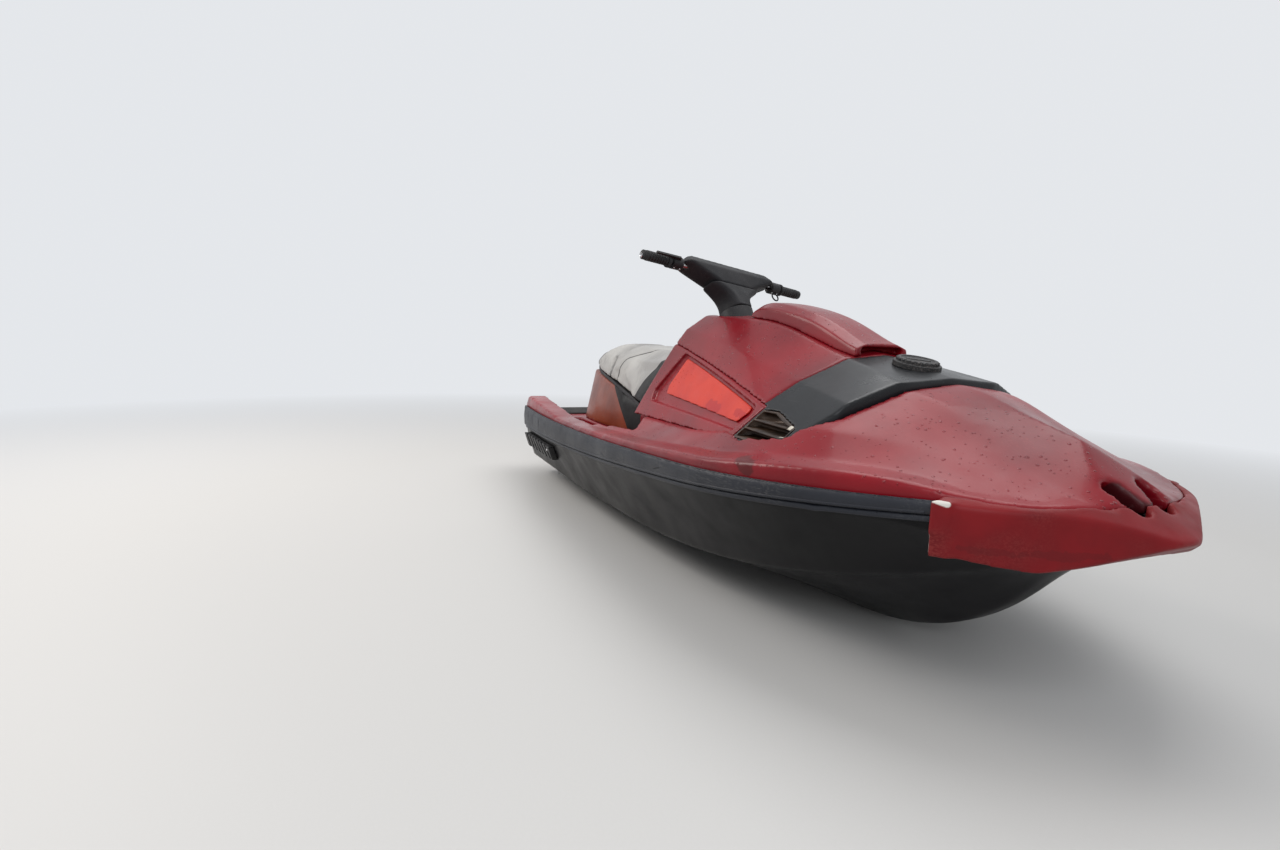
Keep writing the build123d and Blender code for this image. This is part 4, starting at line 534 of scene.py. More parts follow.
# Black rubber of the seat lip and the pedestal boot; on both, its black also paints the shade of the gaps
# where they sit.
RUBBER_AND_SHADE = Finish(
    "lip_rubber", colour=rgb(22, 22, 23), tone=rgb(33, 31, 31), tone_scale=9.0, roughness=(0.45, 0.62),
    specular=0.25, radius=0.001, wear_strength=0.2, relief=0.00016, grime=0.16, grime_low=0.3,
    grime_high=0.7,
)
SEAT_PIPING = Finish(
    "seat_piping", colour=rgb(44, 44, 46), tone=rgb(32, 32, 34), tone_scale=12.0, roughness=(0.4, 0.55),
    radius=0.001, relief=0.00012,
)
COPPER_PEDESTAL = Finish(
    "copper_pedestal", colour=rgb(140, 62, 34), tone=rgb(100, 40, 24), tone_scale=4.0,
    roughness=(0.28, 0.42), coat=0.12, radius=0.004, wear_strength=0.3, grime=0.26, grime_low=0.3,
    grime_high=0.55,
)
STAINLESS = Finish(
    "stainless_steel", colour=rgb(190, 190, 192), tone=rgb(160, 158, 156), tone_scale=18.0,
    roughness=(0.16, 0.34), metallic=1.0, radius=0.0012, wear_strength=0.1, scratch=0.8,
    scratch_colour=rgb(120, 118, 116), scratch_strength=0.35, grime=0.1, grime_colour=rgb(112, 76, 48),
)
CAST_ALLOY = Finish(
    "cast_alloy", colour=rgb(150, 152, 154), tone=rgb(118, 120, 120), tone_scale=11.0,
    roughness=(0.34, 0.58), metallic=0.9, radius=0.002, wear_colour=rgb(206, 206, 204), fineness=620.0,
    pebble=1.4, relief=0.0004, grime=0.3, grime_high=0.3, grime_colour=rgb(120, 112, 96),
)
ENGINE_ALLOY = Finish(
    "engine_alloy", colour=rgb(132, 134, 136), tone=rgb(96, 97, 98), roughness=(0.4, 0.6), metallic=0.8,
    pebble=1.0, relief=0.0003,
)
MAT_RUBBER = Finish(
    "mat_rubber", colour=rgb(44, 44, 46), tone=rgb(60, 58, 56), tone_scale=6.0, roughness=(0.6, 0.78),
    radius=0.001, wear_colour=rgb(110, 106, 98), wear_strength=0.3, fineness=700.0, pebble=1.2,
    relief=0.0003, grime=0.4, grime_low=0.2, grime_colour=rgb(150, 132, 104),
)


@dataclass(frozen=True)
class Showing:
    """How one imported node, or several that are one moulding, is shown, with its finish."""

    node: str
    finish: Finish
    form: Form = Form.KEPT
    voxel: float = 0.006
    passes: int = 10
    keep: float = 0.5
    joined: tuple[str, ...] = ()


def each(nodes: str, finish: Finish, *rest: Any) -> tuple[Showing, ...]:
    """Returns a showing in the same finish and form for each of the named nodes."""
    return tuple(Showing(node, finish, *rest) for node in nodes.split())


def both(node: str, *rest: Any) -> tuple[Showing, ...]:
    """Returns one showing for each side's node of that name."""
    return each(f"{node}_port {node}_starboard", *rest)


DECK_AREAS = ("stern_deck", "gunwale_port", "gunwale_starboard", "footwell_port", "footwell_starboard")
SHOWINGS: tuple[Showing, ...] = (
    Showing("hull", BLACK_HULL, Form.SOFT, 0.009, 8, 0.45),
    Showing("deck", RED_GELCOAT, Form.SOFT, 0.0075, 7, 0.42, DECK_AREAS),
    Showing("cowl", RED_GELCOAT, Form.SOFT, 0.0055, 10),
    *both("side_panel", RED_GELCOAT, Form.SOFT, 0.0045, 8),
    Showing("centre_pod", RED_GELCOAT, Form.SOFT, 0.004, 12),
    Showing("black_band", BLACK_BAND, Form.SOFT, 0.0045, 8),
    Showing("bow_bumper", BUMPER_FINISH, Form.SOFT, 0.004, 15),
    *both("panel_insert", ORANGE_INSERT, Form.SOFT, 0.003, 6),
    *both("rub_rail", RAIL_RUBBER, Form.SOFT, 0.0035, 6),
    *both("air_duct", DUCT_GOLD, Form.SMOOTH),
    Showing("seat_pedestal", COPPER_PEDESTAL, Form.SOFT, 0.007, 10),
    Showing("handlebar_pad", PAD_RUBBER, Form.SOFT, 0.0035, 16, 0.6),
    Showing("steering_neck", PAD_RUBBER, Form.SOFT, 0.003, 12, 0.6),
    *each("grip_port grip_starboard control_loops", GRIP_RUBBER, Form.SMOOTH),
    *each("steering_collar throttle_box switch_box throttle_lever", BLACK_PLASTIC, Form.SMOOTH),
    *each("seat_tray seat_latch", BLACK_PLASTIC),
    Showing("grab_handle", BLACK_PLASTIC, Form.SMOOTH),
    *both("sponson", BLACK_PLASTIC, Form.SOFT, 0.003, 4),
    Showing("drain_plugs", BLACK_PLASTIC, Form.SMOOTH),
    *each("steering_stem handlebar impeller tow_bars stern_eyes", STAINLESS, Form.SMOOTH),
    Showing("engine", ENGINE_ALLOY),
    *each("footwell_mat_port footwell_mat_starboard platform_mat", MAT_RUBBER),
    *each("ride_plate intake_grate", CAST_ALLOY),
    *each("pump_housing steering_nozzle reverse_bucket", CAST_ALLOY, Form.SMOOTH),
)


class Workshop:
    """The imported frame, the finishes on hand and the way a piece joins the craft."""

    def __init__(self, frame: dict[str, Any]) -> None:
        """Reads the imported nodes' bodies and material slots.
        """
        record = frame["record"]
        self.nodes: dict[str, bpy.types.Object] = frame["nodes"]
        self.slots = {row["node"]: row["material_slot"] for row in record["subparts"]}
        self.bodies = {node: body for body, nodes in record["behaviour"]["bodies"].items() for node in nodes}
        self.effects = Effects()
        self.materials: dict[str, bpy.types.Material] = {}

    def material(self, finish: Finish) -> bpy.types.Material:
        """Returns the finish's material, built at its first use."""
        if finish.name not in self.materials:
            self.materials[finish.name] = finish.dress(self.effects)
        return self.materials[finish.name]

    def add(
        self,
        name: str,
        form: bmesh.types.BMesh,
        finish: Finish,
        like: str,
        replaces: Sequence[str] = (),
        sharp: float = SHARP,
    ) -> bpy.types.Object:
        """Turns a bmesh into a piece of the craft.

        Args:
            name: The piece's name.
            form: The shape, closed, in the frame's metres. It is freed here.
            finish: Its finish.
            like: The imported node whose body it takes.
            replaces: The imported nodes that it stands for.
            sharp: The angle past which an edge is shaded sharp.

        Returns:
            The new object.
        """
        bmesh.ops.recalc_face_normals(form, faces=form.faces)
        mesh = bpy.data.meshes.new(name)
        form.to_mesh(mesh)
        form.free()
        mesh.shade_smooth()
        mesh.set_sharp_from_angle(angle=sharp)
        mesh.materials.append(self.material(finish))
        piece = link(name, mesh)
        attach(piece, self.bodies[like])
        if replaces:
            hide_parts(*replaces)
        LOG.info("%s: %d faces", name, len(mesh.polygons))
        return piece

    def merged(self, *names: str) -> bmesh.types.BMesh:
        """Returns a copy of the nodes' meshes, each with its doubles merged."""
        form = bmesh.new()
        for name in names:
            start = len(form.verts)
            form.from_mesh(self.nodes[name].data)
            form.verts.ensure_lookup_table()
            bmesh.ops.remove_doubles(form, verts=form.verts[start:], dist=MERGE)
        return form

    def middle(self, node: str) -> Vector:
        """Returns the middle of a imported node's box."""
        low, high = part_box(node)
        return (Vector(low) + Vector(high)) / 2

    def tree(self, *names: str) -> BVHTree:
        """Returns a search tree of the named nodes' or pieces' surfaces."""
        form = bmesh.new()
        for name in names:
            form.from_mesh(bpy.data.objects[name].data)
        found = BVHTree.FromBMesh(form)
        form.free()
        return found

    def show(self, showing: Showing) -> None:
        """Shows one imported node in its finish.

        Args:
            showing: The node, its finish and how it is shown.
        """
        if showing.form is Form.KEPT:
            node = self.nodes[showing.node]
            node.data.materials.clear()
            node.data.materials.append(self.material(showing.finish))
            return
        nodes = (showing.node, *showing.joined)
        name = f"{showing.node}_{'moulding' if showing.form is Form.SOFT else 'form'}"
        piece = self.add(name, self.merged(*nodes), showing.finish, showing.node, replaces=nodes)
        if showing.form is Form.SOFT:
            soften(piece, showing.voxel, showing.passes, showing.keep)


def smooth_step(share: float) -> float:
    """Returns a step from 0 to 1 that is level at both ends and held past them."""
    held = min(max(share, 0.0), 1.0)
    return held * held * (3 - 2 * held)


def link(name: str, data: Any) -> bpy.types.Object:
    """Puts an object with the given mesh, lamp or camera into the scene and returns it."""
    placed = bpy.data.objects.new(name, data)
    bpy.context.scene.collection.objects.link(placed)
    return placed


def facing(place: Point | Vector, way: Vector) -> Matrix:
    """Returns the matrix that takes the origin to a place and Z to a way."""
    return Matrix.Translation(place) @ way.to_track_quat("Z", "Y").to_matrix().to_4x4()


def bake(piece: bpy.types.Object) -> None:
    """Turns a piece's modifiers into its mesh."""
    graph = bpy.context.evaluated_depsgraph_get()
    graph.update()
    mesh = bpy.data.meshes.new_from_object(piece.evaluated_get(graph), depsgraph=graph)
    mesh.name = piece.name
    piece.modifiers.clear()
    piece.data = mesh


def soften(piece: bpy.types.Object, voxel: float, passes: int, keep: float) -> None:
    """Gives a piece the small radii of a moulding.

    Args:
        piece: The piece, its mesh closed.
        voxel: The grid's step, in metres.
        passes: How many times the surface is smoothed.
        keep: The share of the triangles kept at the end.
    """
    remesh = piece.modifiers.new("grid", "REMESH")
    remesh.mode = "VOXEL"
    remesh.voxel_size = voxel
    remesh.use_smooth_shade = True
    smooth = piece.modifiers.new("radii", "SMOOTH")
    smooth.factor = 0.5
    smooth.iterations = passes
    thin = piece.modifiers.new("thin", "DECIMATE")
    thin.ratio = keep
    bake(piece)
    piece.data.shade_smooth()


def bevel(form: bmesh.types.BMesh, edges: list[bmesh.types.BMEdge], offset: float, segments: int) -> None:
    """Chamfers or rounds the edges of a form.

    Args:
        form: The bmesh that holds them.
        edges: The edges.
        offset: How far the cut reaches from each.
        segments: 1 for a chamfer, more for a round.
    """
    cut = {"offset": offset, "segments": segments, "profile": 0.5}
    bmesh.ops.bevel(form, geom=edges, affect="EDGES", material=-1, **cut)


def screw(form: bmesh.types.BMesh, foot: Vector, out: Vector, radius: float, height: float) -> None:
    """Adds a pan-head screw with a round socket.

    Args:
        form: The bmesh that it goes into.
        foot: Where its head meets the surface.
        out: The way that the head points.
        radius: The head's radius.
        height: The head's height.
    """
    low = facing(foot, out) @ Matrix.Translation((0, 0, height * 0.25))
    cone = {"segments": 18, "radius1": radius, "radius2": radius * 0.82, "depth": height * 1.5}
    made = bmesh.ops.create_cone(form, cap_ends=True, matrix=low, **cone)
    faces = {face for vert in made["verts"] for face in vert.link_faces}
    top = max(faces, key=lambda face: (face.calc_center_median() - foot).dot(out))
    bmesh.ops.inset_region(form, faces=[top], thickness=radius * 0.38)
    bmesh.ops.translate(form, verts=top.verts, vec=-out * height * 0.55)


def tube(form: bmesh.types.BMesh, path: Sequence[Vector], radius: float, sides: int = 10) -> None:
    """Adds a closed tube that follows a path.

    Args:
        form: The bmesh that it goes into.
        path: The points of its middle line.
        radius: Its radius.
        sides: How many sides its ring has.
    """
    rings = []
    for index, point in enumerate(path):
        ahead = path[min(index + 1, len(path) - 1)] - path[max(index - 1, 0)]
        place = facing(point, ahead)
        rings.append(bmesh.ops.create_circle(form, segments=sides, radius=radius, matrix=place)["verts"])
    loft(form, rings)


def loft(form: bmesh.types.BMesh, rings: Sequence[list[bmesh.types.BMVert]]) -> None:
    """Joins rings by walls, each to the next, and closes the first and the last.

    Args:
        form: The bmesh that holds them.
        rings: The rings' points.
    """
    for first, second in zip(rings, rings[1:]):
        edges = {e for ring in (first, second) for v in ring for e in v.link_edges if e.other_vert(v) in ring}
        bmesh.ops.bridge_loops(form, edges=list(edges))
    for ring in (rings[0], rings[-1]):
        bmesh.ops.contextual_create(form, geom=ring)


@dataclass
class Mouldings:
    """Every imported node, shown in its own finish."""

    showings: tuple[Showing, ...] = SHOWINGS

    def build(self, shop: Workshop) -> None:
        """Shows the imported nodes."""
        for showing in self.showings:
            shop.show(showing)
            LOG.info("shown: %s (%s)", showing.node, showing.form.value)


@dataclass(frozen=True)
class Seam:
    """The line of a seam over a cushion, which runs forward as it climbs to the crown."""

    station: float
    reach: float = 0.0
    half: float = 0.243
    ease: float = 0.04

    def place(self, across: float) -> float:
        """Returns the seam's X at a place across the cushion."""
        share = min(math.hypot(across, self.ease) / self.half, 1.0)
        return at(self.station + self.reach * (1 - share), 0, 0)[0]


@dataclass
class Cushion:
    """One seat cushion: foam that swells under vinyl, pulled in along its foot and its seams."""

    node: str
    voxel: float = 0.0065
    shrink: float = 0.004
    pressure: float = 4.0
    cap: float = 0.009
    frames: int = 20
    passes: int = 6
    held: float = 0.03
    fill: float = 0.85
    room_below: float = 0.002
    room_above: float = 0.004
    seam: Seam | None = None
    channel_depth: float = 0.005
    channel_width: float = 0.012

    def build(self, shop: Workshop) -> bpy.types.Object:
        """Builds the cushion and its seams.

        Args:
            shop: The workshop.

        Returns:
            The cushion.
        """
        foam = shop.merged(self.node)
        piece = shop.add(f"{self.node}_cushion", foam, SEAT_VINYL, self.node, replaces=(self.node,))
        soften(piece, self.voxel, self.passes, 1.0)
        low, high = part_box(self.node)
        self.swell(piece, low.z + self.held)
        self.sew(piece)
        self.settle(piece, low, high)
        subdivision = piece.modifiers.new("smooth", "SUBSURF")
        subdivision.levels = subdivision.render_levels = 1
        bake(piece)
        piece.data.shade_smooth()
        return piece

    def swell(self, piece: bpy.types.Object, foot: float) -> None:
        """Lets the cushion swell under its cover by a short cloth simulation.

        Args:
            piece: The cushion.
            foot: The height below which the cover is held.
        """
        mesh = piece.data
        for vert in mesh.vertices:
            vert.co -= vert.normal * self.shrink
        rest = [vert.co.copy() for vert in mesh.vertices]
        held = piece.vertex_groups.new(name="held")
        held.add([vert.index for vert in mesh.vertices if vert.co.z < foot], 1.0, "REPLACE")
        cloth = piece.modifiers.new("cover", "CLOTH")
        cloth.settings.quality = 5
        cloth.settings.use_pressure = True
        cloth.settings.uniform_pressure_force = self.pressure
        cloth.settings.effector_weights.gravity = 0.0
        cloth.settings.vertex_group_mass = "held"
        cloth.point_cache.frame_start = 1
        cloth.point_cache.frame_end = self.frames
        scene = bpy.context.scene
        for step in range(1, self.frames + 1):
            scene.frame_set(step)
        bake(piece)
        scene.frame_set(1)
        piece.vertex_groups.clear()
        for vert, home in zip(piece.data.vertices, rest):
            moved = vert.co - home
            if moved.length > self.cap:
                vert.co = home + moved.normalized() * self.cap

    def sew(self, piece: bpy.types.Object) -> None:
        """Presses the seam's sewn channel into the cushion."""
        if self.seam is None:
            return
        for vert in piece.data.vertices:
            near = (vert.co.x - self.seam.place(vert.co.y)) / self.channel_width
            if abs(near) < 3:
                vert.co -= vert.normal * self.channel_depth * math.exp(-near * near)

    def settle(self, piece: bpy.types.Object, low: Vector, high: Vector) -> None:
        """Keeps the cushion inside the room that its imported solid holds.

        Args:
            piece: The cushion.
            low: The solid's lowest corner.
            high: The solid's highest corner.
        """
        for vert in piece.data.vertices:
            for axis in range(3):
                least, most = low[axis] - self.room_below, high[axis] + self.room_above
                vert.co[axis] = min(max(vert.co[axis], least), most)


@dataclass
class Saddle:
    """The two cushions, their seam piping and the black rubber lip where the seat meets the console, whose
    black also paints the shade of the gap there.
    """

    piping: float = 0.0034
    sunk: float = 0.3
    rays: int = 72
    first_turn: float = -26.0
    sweep: float = 232.0
    tries: int = 3
    centre: float = 0.60
    front_seam: Seam = Seam(0.78, 0.29)
    rear_seam: Seam = Seam(0.44)
    lip_foot: Point = at(1.06, 0.0, 0.48)
    lip_way: Point = (0.88, 0.0, -0.475)
    lip_stand: float = 0.0018

    def build(self, shop: Workshop) -> None:
        """Builds the saddle."""
        front = Cushion("seat_front", seam=self.front_seam).build(shop)
        rear = Cushion("seat_rear").build(shop)
        self.pipe(shop, front, "seat_front", self.front_seam)
        self.pipe(shop, rear, "seat_rear", self.rear_seam)
        self.lip(shop, front)

    def pipe(self, shop: Workshop, cushion: bpy.types.Object, node: str, seam: Seam) -> None:
        """Lays piping over a cushion along a seam.

        Args:
            shop: The workshop.
            cushion: The cushion that carries it.
            node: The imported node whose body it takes.
            seam: The seam's line.
        """
        tree = shop.tree(cushion.name)
        path: list[Vector] = []
        for index in range(self.rays + 1):
            turn = math.radians(self.first_turn + self.sweep * index / self.rays)
            out = Vector((0, math.cos(turn), math.sin(turn)))
            across = seam.half * out.y
            for _ in range(self.tries):
                middle = Vector((seam.place(across), 0, self.centre))
                found = tree.ray_cast(middle + out, -out)[0]
                if found is None:
                    break
                across = found.y
            if found is not None:
                path.append(found - out * self.piping * self.sunk)
        form = bmesh.new()
        tube(form, path, self.piping)
        shop.add(f"{node}_piping", form, SEAT_PIPING, node)

    def lip(self, shop: Workshop, cushion: bpy.types.Object) -> None:
        """Wraps the front cushion's front edge in a thin black rubber lip, which also paints the shade of the
        gap before the console.

        Args:
            shop: The workshop.
            cushion: The front cushion.
        """
        form = bmesh.new()
        form.from_mesh(cushion.data)
        # Black skin over the cushion's front edge: a rubber lip, and painted shade of the seat-to-console
        # gap.
        skirt(form, Vector(self.lip_foot), Vector(self.lip_way), self.lip_stand)
        shop.add("seat_lip", form, RUBBER_AND_SHADE, "seat_front")


def skirt(form: bmesh.types.BMesh, foot: Vector, way: Vector, stand: float) -> None:
    """Cuts a form down to what lies ahead of a plane, and lifts that into a thin closed skin.

    Args:
        form: The form, closed.
        foot: A point on the plane.
        way: The way that the kept part lies in.
        stand: How far the skin stands out, and its thickness.
    """
    geometry = form.verts[:] + form.edges[:] + form.faces[:]
    bmesh.ops.bisect_plane(form, geom=geometry, dist=1e-6, plane_co=foot, plane_no=way, clear_inner=True)
    form.normal_update()
    for vert, normal in [(vert, vert.normal.copy()) for vert in form.verts]:
        vert.co += normal * stand
    bmesh.ops.solidify(form, geom=form.faces[:], thickness=stand)


@dataclass
class PedestalBoot:
    """The black closing boot between the pedestal and the console, below the seat's front; its black also
    paints the shade of the gap there.
    """

    foot: Point = at(0.905, 0.0, 0.435)
    way: Point = (0.66, 0.0, 0.75)
    stand: float = 0.0022

    def build(self, shop: Workshop) -> None:
        """Builds the boot over the pedestal, black so that it also paints the gap's shade."""
        form = shop.merged("seat_pedestal")
        skirt(form, Vector(self.foot), Vector(self.way).normalized(), self.stand)
        # Black skin over the pedestal's front: a rubber boot, and painted shade of the gap before the
        # console.
        shop.add("pedestal_boot", form, RUBBER_AND_SHADE, "seat_pedestal")


@dataclass
class FillerCap:
    """The screw cap on the band: a flange, a ribbed rim, a dished and worn top and its grip bar."""

    station: float = 2.385
    seat_height: float = 0.7361
    slope: float = math.radians(10.7)
    sides: int = 96
    rib: float = 0.0016
    sharp: float = math.radians(34)
    bar_size: Point = (0.070, 0.015, 0.010)
    bar_turn: float = math.radians(62)
    bar_height: float = 0.0205
    bar_radius: float = 0.0028
    rings: tuple[tuple[float, float, bool], ...] = (
        (0.066, 0.002, False),
        (0.066, 0.0145, False),
        (0.0645, 0.016, False),
        (0.0585, 0.0165, False),
        (0.0572, 0.0175, True),
        (0.0572, 0.0235, True),
        (0.0545, 0.026, False),
        (0.0465, 0.026, False),
        (0.0440, 0.0232, False),
        (0.0120, 0.0226, False),
    )

    def build(self, shop: Workshop) -> None:
        """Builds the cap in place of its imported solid."""
        foot = Matrix.Translation(at(self.station, 0.0, self.seat_height))
        form = bmesh.new()
        rings = [self.ring(form, *ring) for ring in self.rings]
        loft(form, rings)
        self.bar(form)
        bmesh.ops.transform(form, matrix=foot @ Matrix.Rotation(self.slope, 4, "Y"), verts=form.verts)
        shop.add("filler_cap_form", form, WORN_CAP, "filler_cap", replaces=("filler_cap",), sharp=self.sharp)

    def ring(
        self, form: bmesh.types.BMesh, radius: float, height: float, ribbed: bool
    ) -> list[bmesh.types.BMVert]:
        """Adds one ring of the cap's wall.

        Args:
            form: The bmesh that it goes into.
            radius: Its radius.
            height: Its height over the cap's seat.
            ribbed: True where the wall has its grip ribs.

        Returns:
            The ring's points.
        """
        lift = Matrix.Translation((0, 0, height))
        verts = bmesh.ops.create_circle(form, segments=self.sides, radius=radius, matrix=lift)["verts"]
        if ribbed:
            for index, vert in enumerate(verts):
                share = 1 + (self.rib if index % 4 < 2 else -self.rib) / radius
                vert.co.x *= share
                vert.co.y *= share
        return verts

    def bar(self, form: bmesh.types.BMesh) -> None:
        """Adds the low bar that a hand turns the cap by."""
        size = Matrix.Diagonal((*self.bar_size, 1))
        turned = Matrix.Translation((0, 0, self.bar_height)) @ Matrix.Rotation(self.bar_turn, 4, "Z")
        made = bmesh.ops.create_cube(form, size=1.0, matrix=turned @ size)
        edges = list({edge for vert in made["verts"] for edge in vert.link_edges})
        bevel(form, edges, self.bar_radius, 3)


@dataclass
class RubRails:
    """The rub rails' crowned faces and the two round beads along the foot of each."""

    top_line: tuple[float, float, float] = (0.368, 0.406, 0.490)
    low_line: tuple[float, float, float] = (0.250, 0.322, 0.446)
    end: float = 2.848
    end_room: float = 0.012
    outside: float = 0.8
    facing: float = 0.35
    first: float = 0.085
    step: float = 0.025
    beads: tuple[tuple[float, float, float], ...] = ((0.006, -0.003, 0.0082), (0.0195, 0.0050, 0.0046))
    crown: float = 0.0042
    bead_height: float = 0.014

    def build(self, shop: Workshop) -> None:
        """Builds both rails' crowns and beads."""
        for side in Side:
            node = f"rub_rail_{side.word}"
            self.round_face(bpy.data.objects[f"{node}_moulding"], side)
            tree = shop.tree(node, "hull")
            form = bmesh.new()
            for rise, sink, radius in self.beads:
                tube(form, self.path(tree, side, rise, sink), radius, 12)
            shop.add(f"{node}_beads", form, RAIL_RUBBER, node)

    def height(self, line: tuple[float, float, float], station: float) -> float:
        """Returns the height of a rail's line at a station."""
        share = station / self.end
        start, middle, last = line
        slope = 4 * middle - 3 * start - last
        bend = 2 * start + 2 * last - 4 * middle
        return start + slope * share + bend * share * share

    def path(self, tree: BVHTree, side: Side, rise: float, sink: float) -> list[Vector]:
        """Finds a bead's line on the rail.

        Args:
            tree: The surfaces of the rail and the hull.
            side: The rail's side.
            rise: The bead's height over the rail's low line.
            sink: How deep its middle lies below the surface.

        Returns:
            The bead's points, from the stern on.
        """
        inwards = Vector(side.inwards)
        points = []
        for index in range(int((self.end - self.end_room - self.first) / self.step) + 1):
            station = self.first + index * self.step
            height = self.height(self.low_line, station) + rise
            start = Vector(at(station, side.value * self.outside, height))
            found, normal = tree.ray_cast(start, inwards)[:2]
            if found is not None:
                out = normal if normal.dot(inwards) < 0 else -normal
                points.append(found - out * sink)
        return points

    def round_face(self, piece: bpy.types.Object, side: Side) -> None:
        """Rounds the rail's flat outer face, from its middle to its edges.

        Args:
            piece: The rail's moulding.
            side: The rail's side.
        """
        outwards = -Vector(side.inwards)
        moves = []
        for vert in piece.data.vertices:
            station = vert.co.x + HALF_LENGTH
            low = self.height(self.low_line, station) + self.bead_height
            share = (vert.co.z - low) / (self.height(self.top_line, station) - low)
            if vert.normal.dot(outwards) > self.facing and -0.1 < share < 1.1:
                flat = Vector((vert.normal.x, vert.normal.y, 0)).normalized()
                moves.append((vert, flat * self.crown * (2 * share - 1) ** 2))
        for vert, move in moves:
            vert.co -= move


@dataclass
class WellFronts:
    """The footwells' slanted fronts, which run forward past the tubs towards the gunwales."""

    inner: float = 0.272
    outer: float = 0.462
    start: float = 1.268
    slant: float = 1.35
    floor: float = 0.346
    climb: float = 0.110
    ease: float = 0.024
    behind: float = 0.1

    def build(self, shop: Workshop) -> None:
        """Presses both fronts into the deck moulding."""
        for vert in bpy.data.objects["deck_moulding"].data.vertices:
            station, across = vert.co.x + HALF_LENGTH, abs(vert.co.y)
            front = self.start + (across - self.inner) * self.slant
            floor = self.floor + self.climb * (station - self.start)
            if vert.co.z > floor and station > self.start - self.behind:
                share = self.rise(front - station) * self.rise(across - self.inner)
                share *= self.rise(self.outer - across)
                vert.co.z += (floor - vert.co.z) * share

    def rise(self, distance: float) -> float:
        """Returns a smooth step over the ease distance."""
        return smooth_step(distance / self.ease)


@dataclass(frozen=True)
class Studs:
    """Screw heads of one size on one node, each where a ray meets it."""

    name: str
    node: str
    finish: Finish
    radius: float
    height: float
    rays: tuple[tuple[Point, Point], ...]

    def build(self, shop: Workshop) -> None:
        """Sets the screw heads."""
        tree = shop.tree(self.node)
        form = bmesh.new()
        for start, way in self.rays:
            heading = Vector(way).normalized()
            foot, normal = tree.ray_cast(Vector(start), heading)[:2]
            if foot is None:
                LOG.warning("%s: a ray missed %s", self.name, self.node)
                continue
            screw(form, foot, normal if normal.dot(heading) < 0 else -normal, self.radius, self.height)
        shop.add(self.name, form, self.finish, self.node)


